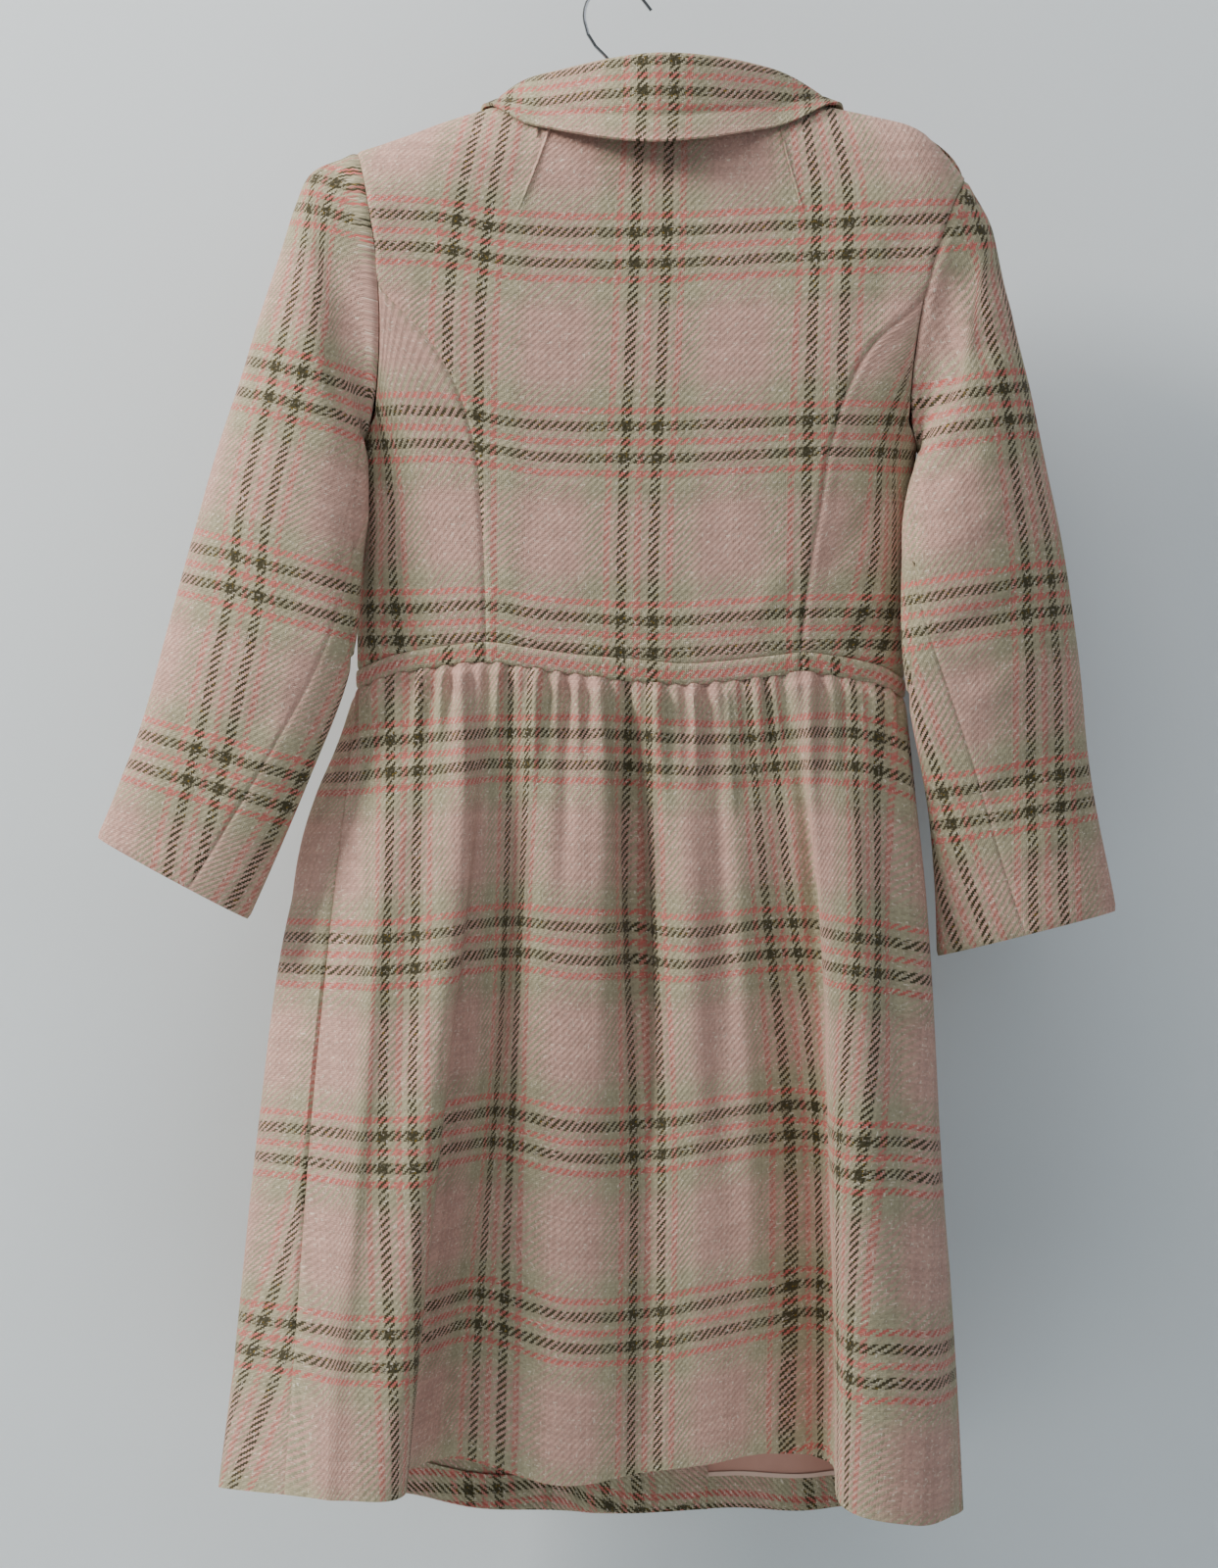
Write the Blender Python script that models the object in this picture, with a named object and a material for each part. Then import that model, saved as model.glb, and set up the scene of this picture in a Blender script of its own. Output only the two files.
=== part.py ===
"""A gathered, plaid wool tweed coat that hangs on a plain hanger.

Lengths in the tables are millimetres of the coat's own frame: the origin is inside the top of the
hanger's hook, +Z is up, the coat's back faces +Y and its wearer's left is +X. One function at the end
turns them to metres. Every cloth piece is a thin wall: its outer points come from a surface that is
worked out from the tables, and its inner points lie one cloth thickness further in.
"""

import math
from collections import namedtuple

import bmesh
import bpy
import numpy as np
from mathutils import Vector

COAT = "wool_coat_on_hanger"
METRES = 0.001

CLOTH = 1.6
SKIRT_CLOTH = 1.4
COLLAR_CLOTH = 2.2
SLEEVE_CLOTH = 1.1
SEAM_INSET = 0.15
SLEEVE_INSET = 0.48
WAIST_INSET = 0.35
LAYER_GAP = 0.8
LAP_START = 45.0
LAP_FULL = 14.0
SHOULDER_ROLL = 60.0
RIDGE_MARGIN = 0.3

# The torso's level sections are flattened rounds, wider and squarer towards the shoulders.
Torso = namedtuple("Torso", "height centre half_width back_depth front_depth squareness")
TORSO = (
    Torso(-490, -10.5, 186, 42, 47, 2.3),
    Torso(-440, -10.5, 186, 43, 50, 2.3),
    Torso(-400, -12.0, 186, 43, 54, 2.4),
    Torso(-360, -14.0, 187, 43, 58, 2.6),
    Torso(-315, -17.0, 188, 43, 60, 3.0),
    Torso(-270, -20.0, 190, 43, 58, 4.5),
    Torso(-220, -23.5, 196, 42, 53, 6.0),
    Torso(-170, -27.0, 206, 40, 47, 7.0),
    Torso(-120, -30.0, 216, 38, 42, 8.0),
    Torso(-60, -30.0, 220, 36, 38, 8.0),
)

# The ridge where the coat lies over the hanger, from the right shoulder tip to the left one.
Ridge = namedtuple("Ridge", "x height")
RIDGE = (
    Ridge(-238, -132.5),
    Ridge(-226, -117),
    Ridge(-213, -103.5),
    Ridge(-201, -96),
    Ridge(-186, -92),
    Ridge(-149, -84),
    Ridge(-115, -76.5),
    Ridge(-75, -70),
    Ridge(-30, -67),
    Ridge(15, -69),
    Ridge(55, -75),
    Ridge(85, -84),
    Ridge(119, -94.5),
    Ridge(152, -106.5),
    Ridge(176, -114),
)

# Armholes: the back half runs from the shoulder tip to where the princess seam starts, and on to the
# underarm, and the front half from the underarm back up to the shoulder tip.
Spot = namedtuple("Spot", "x height")
ARMHOLE_BACK_UPPER = {
    "left": (Spot(176, -114), Spot(174, -120), Spot(170, -136), Spot(166, -158), Spot(162, -182), Spot(160, -207)),
    "right": (
        Spot(-238, -132.5),
        Spot(-235, -140),
        Spot(-229, -152),
        Spot(-221, -173),
        Spot(-214, -194),
        Spot(-208, -217),
    ),
}
ARMHOLE_BACK_LOWER = {
    "left": (Spot(160, -207), Spot(159, -232), Spot(159.5, -256), Spot(161.5, -280), Spot(165, -299), Spot(171, -311)),
    "right": (
        Spot(-208, -217),
        Spot(-204, -240),
        Spot(-201, -263),
        Spot(-199.5, -285),
        Spot(-200.5, -303),
        Spot(-205, -316),
    ),
}
ARMHOLE_FRONT = {
    "left": (
        Spot(171, -311),
        Spot(170.4, -307.5),
        Spot(168.6, -304),
        Spot(164, -300),
        Spot(156.5, -283),
        Spot(152, -258),
        Spot(151, -230),
        Spot(154, -198),
        Spot(161, -162),
        Spot(169, -135),
        Spot(174, -120),
        Spot(176, -114),
    ),
    "right": (
        Spot(-205, -316),
        Spot(-204.4, -312.5),
        Spot(-202.8, -309),
        Spot(-199.2, -305.5),
        Spot(-194.5, -290),
        Spot(-192, -262),
        Spot(-195, -236),
        Spot(-202, -207),
        Spot(-213, -176),
        Spot(-227, -151),
        Spot(-235, -139.5),
        Spot(-238, -132.5),
    ),
}

# Princess seams, from the waist up to the armhole.
PRINCESS = {
    "left": (
        Spot(87, -449.5),
        Spot(88, -413),
        Spot(89.5, -377),
        Spot(92, -340),
        Spot(98, -304),
        Spot(109, -273),
        Spot(130, -240),
        Spot(160, -207),
    ),
    "right": (
        Spot(-124.7, -456),
        Spot(-128, -420),
        Spot(-133, -385),
        Spot(-139, -350),
        Spot(-145, -315),
        Spot(-155, -281),
        Spot(-175, -247),
        Spot(-208, -217),
    ),
}

# Necklines, from the shoulder to the centre.
NECK_SHOULDER = {"left": Spot(55, -75), "right": Spot(-115, -76.5)}
NECK_BACK_CENTRE = Spot(-29, -88)
NECK_FRONT_CENTRE_HEIGHT = -152.0
CENTRE_FRONT_X = -30.0
FRONT_OVERLAP = 30.0

# The waistband's two edges across the back, from the right side to the left one.
Band = namedtuple("Band", "x top bottom")
BAND = (
    Band(-196.5, -473.5, -484.5),
    Band(-184, -466.5, -478),
    Band(-166, -461.5, -474),
    Band(-146, -458, -470.5),
    Band(-125, -456, -468),
    Band(-113, -457.5, -469.8),
    Band(-80, -461.5, -474),
    Band(-47, -464, -476.5),
    Band(-10, -461, -474.5),
    Band(31, -457.5, -469.5),
    Band(58, -453.5, -465.5),
    Band(87, -449.5, -461.5),
    Band(104, -450.7, -462.7),
    Band(130, -454, -466),
    Band(151, -458, -469.5),
    Band(175.5, -467, -478.5),
)
BAND_FRONT_DROP = 16.0
BAND_GUESS_HEIGHT = -470.0

# The skirt's folds, once round from the left side seam over the back and then the front. Each row is a
# line that runs down the cloth: where it starts at the waist, where it lies a quarter and about half
# way down and at the hem, and how high its hem hangs.
Fold = namedtuple("Fold", "name waist_x high_x low_x hem_x high_y low_y hem_y hem_height")
BACK_FOLDS = (
    Fold("left seam", 175, 190, 205, 222, 25, 38, 48, -1019),
    Fold("left panel", 134, 146, 158, 180, 48, 62, 74, -1018),
    Fold("left crest", 97, 101, 118, 141, 53, 64, 66, -1016),
    Fold("left tuck", 80, 89, 107, 136, 40, 34, 22, -1007),
    Fold("left hollow", 56, 62, 74, 106, 40, 35, 22, -1000),
    Fold("centre swell", 25, 25, 28, 38, 48, 49, 44, -1014),
    Fold("centre valley", -7, -13, -18, -18, 30, 37, 36, -1007),
    Fold("right swell", -41, -47, -54, -60, 47, 43, 34, -1002),
    Fold("right hollow", -86, -93, -100, -107, 40, 33, 25, -996),
    Fold("right tuck", -117, -128, -137, -144, 40, 30, 16, -1005),
    Fold("right crest", -134, -138, -145, -150, 51, 61, 63, -1023),
    Fold("right panel", -166, -178, -187, -196, 44, 58, 70, -1035),
    Fold("right seam", -196, -211, -217, -226, 19, 28, 36, -1036),
)
FRONT_FOLDS = (
    Fold("right side", -190, -212, -223, -237, -4, 0, 4, -1037),
    Fold("right side front", -166, -190, -203, -220, -36, -40, -44, -1040),
    Fold("right outer swell", -136, -156, -167, -180, -52, -60, -68, -1046),
    Fold("right front hollow", -102, -116, -123, -132, -50, -50, -54, -1050),
    Fold("right inner swell", -66, -75, -79, -84, -56, -67, -80, -1053),
    Fold("centre front", -25, -24, -16, -10, -53, -60, -70, -1055),
    Fold("left inner swell", 18, 26, 34, 44, -56, -68, -82, -1055),
    Fold("left front hollow", 56, 72, 82, 97, -50, -52, -58, -1049),
    Fold("left outer swell", 92, 117, 130, 150, -54, -64, -76, -1041),
    Fold("left side front", 130, 158, 173, 198, -44, -50, -56, -1032),
    Fold("left side", 158, 196, 213, 241, -24, -26, -26, -1026),
    Fold("left edge", 172, 217, 240, 269, 0, 3, 8, -1022),
)
FOLD_LEVELS = (0.0, 0.25, 0.55, 1.0)
BACK_GATHERS = 30
FRONT_GATHERS = 16
COLUMNS_PER_GATHER = 4
FINE_PER_COARSE = 3
GATHER_HEIGHT = 1.9
GATHER_UNEVENNESS = 0.35
GATHER_BEATS = (23.0, 61.0)
GATHER_FLAT_AT_EDGE = 40.0
# How strongly the gathers stand at their rows, by how far below the waistband each row lies.
GatherRow = namedtuple("GatherRow", "drop strength")
GATHER_ROWS = (GatherRow(0.0, 0.55), GatherRow(10.0, 1.0), GatherRow(34.0, 0.55))
SKIRT_ROWS = 9
FIRST_PLAIN_ROW = 0.13
SIDE_PUFF = 13.0
PUFF_WIDTH = 80.0
PUFF_END = 0.26

# Sleeves: each row is one section, by its outer and inner edge as the back shows them, and half its depth.
Section = namedtuple("Section", "outer_x outer_z outer_y inner_x inner_z inner_y half_depth")
SLEEVE = {
    "left": (
        Section(207, -129, 4, 179, -322, 1, 36),
        Section(217, -150, 5, 176, -334, 6, 35),
        Section(228, -184, 6, 172, -348, 14, 34),
        Section(240, -222, 7, 169, -365, 22, 33),
        Section(254, -268, 8, 170, -389, 29, 32),
        Section(268, -310, 9, 171, -412, 34, 30),
        Section(283, -364, 10, 173, -440, 38, 28),
        Section(303, -437, 12, 182, -482, 38, 26),
        Section(321, -504, 14, 207, -544, 36, 24),
        Section(335, -541, 15, 227, -590, 33, 23),
        Section(351, -580, 16, 247, -635, 30, 22),
    ),
    "right": (
        Section(-246, -145, 3, -214, -327, 1, 36),
        Section(-255, -163, 4, -211, -339, 6, 35),
        Section(-262, -192, 5, -204, -351, 14, 34),
        Section(-271, -235, 6, -197, -369, 22, 33),
        Section(-282, -280, 7, -194, -394, 29, 32),
        Section(-293, -330, 7, -192.5, -424, 34, 30),
        Section(-303, -380, 8, -193, -454, 36, 28),
        Section(-313, -445, 8, -198, -490, 30, 26),
        Section(-321, -520, 7, -212, -560, 14, 24),
        Section(-330, -575, 6, -217, -612, 6, 23),
        Section(-341, -630, 5, -219, -661, 2, 22),
    ),
}
# Where the seams between the top and the under sleeve run, in degrees round a section from its outer
# edge over the back, at the armhole and at the cuff.
BACK_SEAM_AT_CUFF = {"left": 107.0, "right": 92.0}
FRONT_SEAM_AT_CUFF = 222.0
BACK_SEAM_SAMPLE = 10
FRONT_SEAM_SAMPLE = 14
UNDER_SLEEVE_SPLIT = 2
SLEEVE_ROWS = 12
SLEEVE_ROW_POWER = 1.35
UNDERARM_PUSH = (-275.0, -293.0)
UNDERARM_GAP = 2.2
NORMAL_BLENDS = 4
ARMHOLE_FADE_ROW = 2
ARMHOLE_FADE_POWER = 1.0
FRONT_FULLNESS = 26.0
FRONT_FULLNESS_END = 0.45
CORNER_FULLNESS = 15.0
CORNER_AT = 150.0
CORNER_REACH = 50.0
CORNER_END = 0.34

# Collar: the roll line and the outer edge, once round from the left end over the back to the right end.
Collar = namedtuple("Collar", "share roll_x roll_y roll_z edge_x edge_y edge_z")
COLLAR = (
    Collar(0.0, -22, -59, -140, -14, -70, -196),
    Collar(0.115, 29, -51, -115, 53, -65, -170),
    Collar(0.19, 56, -38, -90, 80, -47, -126),
    Collar(0.27, 63, -1, -69, 88, -7, -82),
    Collar(0.385, 32, 26, -61, 56, 32, -99),
    Collar(0.5, -28, 43, -54, -26, 54, -115),
    Collar(0.61, -88, 27, -57, -113, 31, -99),
    Collar(0.73, -122, -1, -68.5, -152, -7, -81),
    Collar(0.81, -117, -38, -91, -142, -47, -126),
    Collar(0.885, -90, -51, -116, -113, -65, -170),
    Collar(1.0, -38, -59, -140, -46, -70, -196),
)
COLLAR_ROWS = 9
COLLAR_LIP = 3.0
COLLAR_SEAT = 0.9
COLLAR_REST = 2.0
STAND_REST = 1.2
ROLL_STIFFNESS = 13.0

# Panel subdivisions. Seams that two pieces share have the same number on both.
SIDE_ROWS = 7
ARMHOLE_UPPER_ROWS = 5
ARMHOLE_LOWER_ROWS = 5
ARMHOLE_FRONT_ROWS = 11
SHOULDER_COLUMNS = 4
BACK_NECK_COLUMNS = 12
FRONT_NECK_COLUMNS = 9
NECKLINE_SAMPLES = 121
SIDE_COLUMNS = 5
BAND_ROWS = 2

HOOK_WIRE = 1.3
HOOK_RADIUS = 21.3
HOOK_CENTRE = -(HOOK_RADIUS - HOOK_WIRE)
BAR_RADIUS = 6.0
BAR_CLEARANCE = 0.75
BAR_CENTRE_HEIGHT = -84.0
BAR_LEFT_TIP = (197.0, -137.5)
BAR_RIGHT_TIP = (-200.0, -107.5)
BAR_NECK_PLACES = (20.0, 0.0, -70.0)
BAR_RIGHT_POINTS = 1

BUTTON_RADIUS = 11.0
BUTTON_THICKNESS = 3.6
BUTTON_SEAT = 0.4
BUTTON_HEIGHTS = (-212.0, -302.0, -392.0)

FACING_HEIGHT = 130.0
FACING_COLUMNS = 13
FACING_HEM = 2.0
FACING_CORNER = 22.0
HEM_TURN_UP = 24.0
LINING_HEIGHT = 190.0
LINING_CLOTH = 1.0
LINING_FIRST_COLUMN = 7
LAYER_ROWS = 6
SKIRT_LENGTH = 555.0

COLOURS = {
    "tweed": (0.55, 0.36, 0.31, 1.0),
    "satin": (0.56, 0.27, 0.18, 1.0),
    "button": (0.20, 0.13, 0.10, 1.0),
    "wood": (0.45, 0.30, 0.17, 1.0),
    "chrome": (0.75, 0.76, 0.78, 1.0),
}
ROUGHNESS = {"tweed": 0.95, "satin": 0.4, "button": 0.35, "wood": 0.45, "chrome": 0.15}


def smooth(at, knots, values):
    """Values at the given places on a curve through the knots, with slopes from each knot's neighbours."""
    at = np.asarray(at, float)
    knots = np.asarray(knots, float)
    values = np.asarray(values, float)
    steps = np.diff(knots)
    rise = np.diff(values, axis=0) / steps.reshape(-1, *([1] * (values.ndim - 1)))
    slopes = np.concatenate([rise[:1], (rise[1:] + rise[:-1]) / 2, rise[-1:]])
    flat = np.clip(at, knots[0], knots[-1]).ravel()
    index = np.clip(np.searchsorted(knots, flat, side="right") - 1, 0, len(steps) - 1)
    wide = [-1] + [1] * (values.ndim - 1)
    step = steps[index].reshape(wide)
    part = ((flat - knots[index]) / steps[index]).reshape(wide)
    start = (1 + 2 * part) * (1 - part) ** 2
    leave = part * (1 - part) ** 2 * step
    end = part**2 * (3 - 2 * part)
    arrive = part**2 * (part - 1) * step
    found = start * values[index] + leave * slopes[index]
    found = found + end * values[index + 1] + arrive * slopes[index + 1]
    return found.reshape(at.shape + values.shape[1:])


def column(rows, name):
    """One named column of a table, as an array."""
    return np.array([getattr(row, name) for row in rows], float)


def table_at(at, rows, key, names):
    """The named columns of a table, smoothed over the column that orders it."""
    return [smooth(at, column(rows, key), column(rows, name)) for name in names]


def unit(vectors):
    """Vectors of length one."""
    return vectors / np.maximum(np.linalg.norm(vectors, axis=-1, keepdims=True), 1e-9)


# The torso's surface


def ridge_height(x):
    """Height of the shoulder ridge above a place across the coat."""
    return smooth(x, column(RIDGE, "x"), column(RIDGE, "height"))


def roll_squared(x, z):
    """How far the cloth has rolled over the ridge, squared: 0 on the ridge, 1 below the roll."""
    depth = np.clip((ridge_height(x) - z) / SHOULDER_ROLL, 0, 1)
    return 2 * depth - depth**2


def torso_section(z):
    """Centre, half width, back depth, front depth and squareness of the section at a height."""
    return table_at(z, TORSO, "height", Torso._fields[1:])


def torso_point(angle, z):
    """The point of the torso's surface in a direction round it (0 at the centre back, 90 degrees left)."""
    angle, z = np.broadcast_arrays(np.asarray(angle, float), np.asarray(z, float))
    centre, half, back, front, power = torso_section(z)
    sine, cosine = np.sin(angle), np.cos(angle)
    reach = (np.abs(sine) ** power + np.abs(cosine) ** power) ** (-1 / power)
    x = centre + half * reach * sine
    depth = np.where(cosine > 0, back, front)
    y = reach * cosine * depth * np.sqrt(roll_squared(x, z))
    return np.stack([x, y, z], axis=-1)


def torso_angle(x, z, face):
    """The direction round the torso of a place seen from the back ('back') or on a front panel."""
    centre, half, _, _, power = torso_section(z)
    across = np.clip((x - centre) / half, -1, 1)
    inward = np.clip(1 - np.abs(across) ** power, 0, 1) ** (1 / power)
    angle = np.arctan2(across, inward)
    if face == "back":
        return angle
    return math.copysign(math.pi, 1 if face == "left" else -1) - angle


def torso_normal(points):
    """Outward normals of the torso's surface, from the slope of its section's formula."""
    x, y, z = points[..., 0], points[..., 1], points[..., 2]
    step = 0.5
    centre, half, back, front, power = torso_section(z)
    above, below = torso_section(z + step), torso_section(z - step)
    depth = np.where(y >= 0, back, front)
    side = 1 if y.mean() >= 0 else -1
    depth_slope = np.where(y >= 0, above[2] - below[2], above[3] - below[3]) / (2 * step)
    across = np.clip((x - centre) / half, -1, 1)
    inward = np.clip(1 - np.abs(across) ** power, 0, 1) ** (1 / power)
    half_slope = (above[1] - below[1]) / (2 * step)
    centre_slope = (above[0] - below[0]) / (2 * step)
    rolled = roll_squared(x, z)
    share = np.clip((ridge_height(x) - z) / SHOULDER_ROLL, 0, 1)
    ridge_slope = (ridge_height(x + step) - ridge_height(x - step)) / (2 * step)
    steep = power * np.abs(across) ** (power - 1) * np.sign(across)
    deep = power * inward**power
    rolled_z = -(2 - 2 * share) / SHOULDER_ROLL
    sign = np.where(np.abs(y) > 1e-6, np.sign(y), side)
    normal_x = rolled * steep / half + deep * rolled_z * ridge_slope / 2
    normal_y = power * inward ** (power - 1) * np.sqrt(rolled) / depth * sign
    normal_z = -rolled * steep * (centre_slope + across * half_slope) / half
    normal_z = normal_z - deep * (rolled * depth_slope / depth + rolled_z / 2)
    return unit(np.stack([normal_x, normal_y, normal_z], axis=-1))


def torso_normal_round(points):
    """Outward normals of the torso at points on both of its faces."""
    back = torso_normal(np.concatenate([points[:1] * np.array([1.0, 0.0, 1.0]), points]))[1:]
    return back


def lie_outside(points, gap):
    """How far to move points so that they lie at least a gap outside the torso's surface.

    The nearest place is taken at the same height on the same face, or on the ridge for higher points.
    """
    x, y, z = points[..., 0], points[..., 1], points[..., 2]
    height = np.minimum(z, ridge_height(x) - RIDGE_MARGIN)
    back = torso_point(torso_angle(x, height, "back"), height)
    front = torso_point(torso_angle(x, height, "left"), height)
    nearest = np.where((y >= 0)[..., None], back, front)
    normals = np.where((y >= 0)[..., None], torso_normal(back), torso_normal(front))
    distance = np.sum((points - nearest) * normals, axis=-1)
    return normals * np.clip(gap - distance, 0, None)[..., None]


def band_heights(angle):
    """Heights of the waistband's top and bottom edge in a direction round the torso."""
    angle = np.asarray(angle, float)
    edges = []
    for name in ("top", "bottom"):
        z = np.full(angle.shape, BAND_GUESS_HEIGHT)
        for _ in range(3):
            x = torso_point(angle, z)[..., 0]
            z = smooth(x, column(BAND, "x"), column(BAND, name))
        forward = np.clip(-np.cos(angle), 0, 1)
        left, right = getattr(BAND[-1], name), getattr(BAND[0], name)
        level = left + (right - left) * (1 - np.sin(angle)) / 2
        front = level - BAND_FRONT_DROP * forward**2
        edges.append(np.where(np.cos(angle) > 0, z, front))
    return edges


# Panels between seams


def even_line(x, z, face, count):
    """The (angle, height) pairs of a finely drawn line on the torso, at even stretches along it."""
    line = np.stack([torso_angle(x, z, face), z], axis=-1)
    points = torso_point(line[:, 0], line[:, 1])
    places = np.concatenate([[0], np.cumsum(np.linalg.norm(np.diff(points, axis=0), axis=1))])
    even = np.linspace(0, places[-1], count + 1)
    return np.stack([np.interp(even, places, line[:, 0]), np.interp(even, places, line[:, 1])], axis=-1)


def seam(spots, face):
    """The (angle, height) pairs of a seam given by its places on one face of the torso."""
    x, z = column(spots, "x"), column(spots, "height")
    return np.stack([torso_angle(x, z, face), z], axis=-1)


def shares(line):
    """How far along a line each of its points lies, from 0 to 1."""
    points = torso_point(line[:, 0], line[:, 1])
    places = np.concatenate([[0], np.cumsum(np.linalg.norm(np.diff(points, axis=0), axis=1))])
    return places / places[-1]


def fill_between(bottom, top, start, end):
    """A grid of (angle, height) pairs blended between four seams that meet at their ends.

    Each inner point is the sum of its blends across and up, less the blend of the four corners.
    """
    across = ((shares(bottom) + shares(top)) / 2)[None, :, None]
    up = ((shares(start) + shares(end)) / 2)[:, None, None]
    sideways = (1 - across) * start[:, None] + across * end[:, None]
    upward = (1 - up) * bottom[None] + up * top[None]
    lower = (1 - across) * start[0] + across * end[0]
    upper = (1 - across) * start[-1] + across * end[-1]
    return sideways + upward - (1 - up) * lower - up * upper


def inset_edges(points, inset):
    """The grid with its outermost points drawn a little towards their neighbours, to leave a seam's gap."""
    points = points.copy()
    inside = points.copy()
    points[0] += inset * unit(inside[1] - inside[0])
    points[-1] += inset * unit(inside[-2] - inside[-1])
    points[:, 0] += inset * unit(inside[:, 1] - inside[:, 0])
    points[:, -1] += inset * unit(inside[:, -2] - inside[:, -1])
    return points


def wall_from_torso(grid, inset=SEAM_INSET, lift=None):
    """Outer and inner points of a panel on the torso, raised off it by the given distances."""
    points = torso_point(grid[..., 0], grid[..., 1])
    normals = torso_normal(points)
    raised = points if lift is None else points + normals * lift[..., None]
    outer = inset_edges(raised, inset)
    return outer, outer - CLOTH * normals


def edge_of_band(first, last, count, which):
    """The waistband's top (0) or bottom (1) edge between two directions, as (angle, height) pairs."""
    angle = np.linspace(first, last, count + 1)
    return np.stack([angle, band_heights(angle)[which]], axis=-1)


def shoulder_line(side, count, face):
    """The ridge from the shoulder tip to the neck, as (angle, height) pairs."""
    tip = ARMHOLE_BACK_UPPER[side][0].x
    x = np.linspace(tip, NECK_SHOULDER[side].x, count + 1)
    z = ridge_height(x)
    return np.stack([torso_angle(x, z, face), z], axis=-1)


def back_neckline():
    """The back neckline from the left shoulder to the right one: a shallow, flat-bottomed curve."""
    left, right = NECK_SHOULDER["left"], NECK_SHOULDER["right"]
    share = np.linspace(-1, 1, NECKLINE_SAMPLES)
    middle, half = (left.x + right.x) / 2, (right.x - left.x) / 2
    x = middle + half * np.sin(share * math.pi / 2)
    ends = left.height + (right.height - left.height) * (share + 1) / 2
    z = ends + (NECK_BACK_CENTRE.height - (left.height + right.height) / 2) * np.cos(share * math.pi / 2) ** 0.6
    z[0], z[-1] = ridge_height(left.x), ridge_height(right.x)
    return even_line(x, z, "back", BACK_NECK_COLUMNS)


def front_edge_x(side):
    """Where a front's free edge lies: each front runs past the centre under or over the other."""
    past = FRONT_OVERLAP if side == "right" else -FRONT_OVERLAP
    return CENTRE_FRONT_X + past


def front_neckline(side):
    """The front neckline from the shoulder down to the free edge: a quarter round and a flat stretch."""
    start = NECK_SHOULDER[side]
    share = np.linspace(0, 1, NECKLINE_SAMPLES)
    end_x = float(front_edge_x(side))
    x = start.x + (end_x - start.x) * (1 - np.cos(share * math.pi / 2))
    z = start.height + (NECK_FRONT_CENTRE_HEIGHT - start.height) * np.sin(share * math.pi / 2)
    z[0] = ridge_height(start.x)
    return even_line(x, z, side, FRONT_NECK_COLUMNS)


def princess_line(side):
    """The princess seam from the waistband up, as (angle, height) pairs."""
    line = seam(PRINCESS[side], "back")
    line[0, 1] = band_heights(line[0, 0])[0]
    return line


def side_line(side):
    """The side seam from the waistband up to the underarm."""
    turn = math.copysign(math.pi / 2, ARMHOLE_BACK_UPPER[side][0].x)
    bottom = float(band_heights(turn)[0])
    z = np.linspace(bottom, ARMHOLE_BACK_LOWER[side][-1].height, SIDE_ROWS + 1)
    return np.stack([np.full(z.shape, turn), z], axis=-1)


def back_lower_armhole(side):
    """The armhole from the princess seam down to the underarm."""
    line = seam(ARMHOLE_BACK_LOWER[side], "back")
    line[-1, 0] = math.copysign(math.pi / 2, line[-1, 0])
    return line


def front_armhole(side):
    """The armhole from the underarm up the front to the shoulder tip."""
    line = seam(ARMHOLE_FRONT[side], side)
    line[0, 0] = math.copysign(math.pi / 2, line[0, 0])
    return line


def back_centre_grid():
    """The centre back panel, from the left princess seam and armhole to the right ones."""
    edges = {}
    for side in ("left", "right"):
        upper = seam(ARMHOLE_BACK_UPPER[side], "back")[::-1]
        edges[side] = np.concatenate([princess_line(side), upper[1:]])
    top = np.concatenate(
        [
            shoulder_line("left", SHOULDER_COLUMNS, "back"),
            back_neckline()[1:],
            shoulder_line("right", SHOULDER_COLUMNS, "back")[::-1][1:],
        ]
    )
    bottom = edge_of_band(edges["left"][0, 0], edges["right"][0, 0], len(top) - 1, 0)
    return fill_between(bottom, top, edges["left"], edges["right"])


def back_side_grid(side):
    """A side back panel, from the princess seam to the side seam and up to the armhole."""
    start, end = princess_line(side), side_line(side)
    bottom = edge_of_band(start[0, 0], end[0, 0], SIDE_COLUMNS, 0)
    return fill_between(bottom, back_lower_armhole(side), start, end)


def front_grid(side):
    """A front, from the side seam and armhole to its free edge past the centre."""
    start = np.concatenate([side_line(side), front_armhole(side)[1:]])
    top = np.concatenate([shoulder_line(side, SHOULDER_COLUMNS, side), front_neckline(side)[1:]])
    edge_top = top[-1]
    edge_angle = float(torso_angle(front_edge_x(side), np.array(BAND_GUESS_HEIGHT), side))
    edge_bottom = np.array([edge_angle, float(band_heights(edge_angle)[0])])
    share = shares(start)[:, None]
    end = edge_bottom + (edge_top - edge_bottom) * share
    bottom = edge_of_band(start[0, 0], edge_angle, len(top) - 1, 0)
    return fill_between(bottom, top, start, end)


def under_lap(points, side):
    """How far a left front's points move in, where the right front lies over them."""
    if side == "right":
        return np.zeros(points.shape[:-1])
    past = points[..., 0] - front_edge_x("right")
    share = np.clip((LAP_START - past) / (LAP_START - LAP_FULL), 0, 1)
    on_front = points[..., 1] < 0
    return -np.where(on_front, share**2 * (3 - 2 * share), 0) * (CLOTH + LAYER_GAP)


# Skirt


def waist_places(rows):
    """The direction round the torso at which each fold starts, for the back and then the front."""
    found = []
    for row in rows:
        face = "back" if row in BACK_FOLDS else ("right" if row.waist_x < CENTRE_FRONT_X else "left")
        found.append(float(torso_angle(row.waist_x, np.array(BAND_GUESS_HEIGHT), face)))
    return np.array(found)


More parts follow.
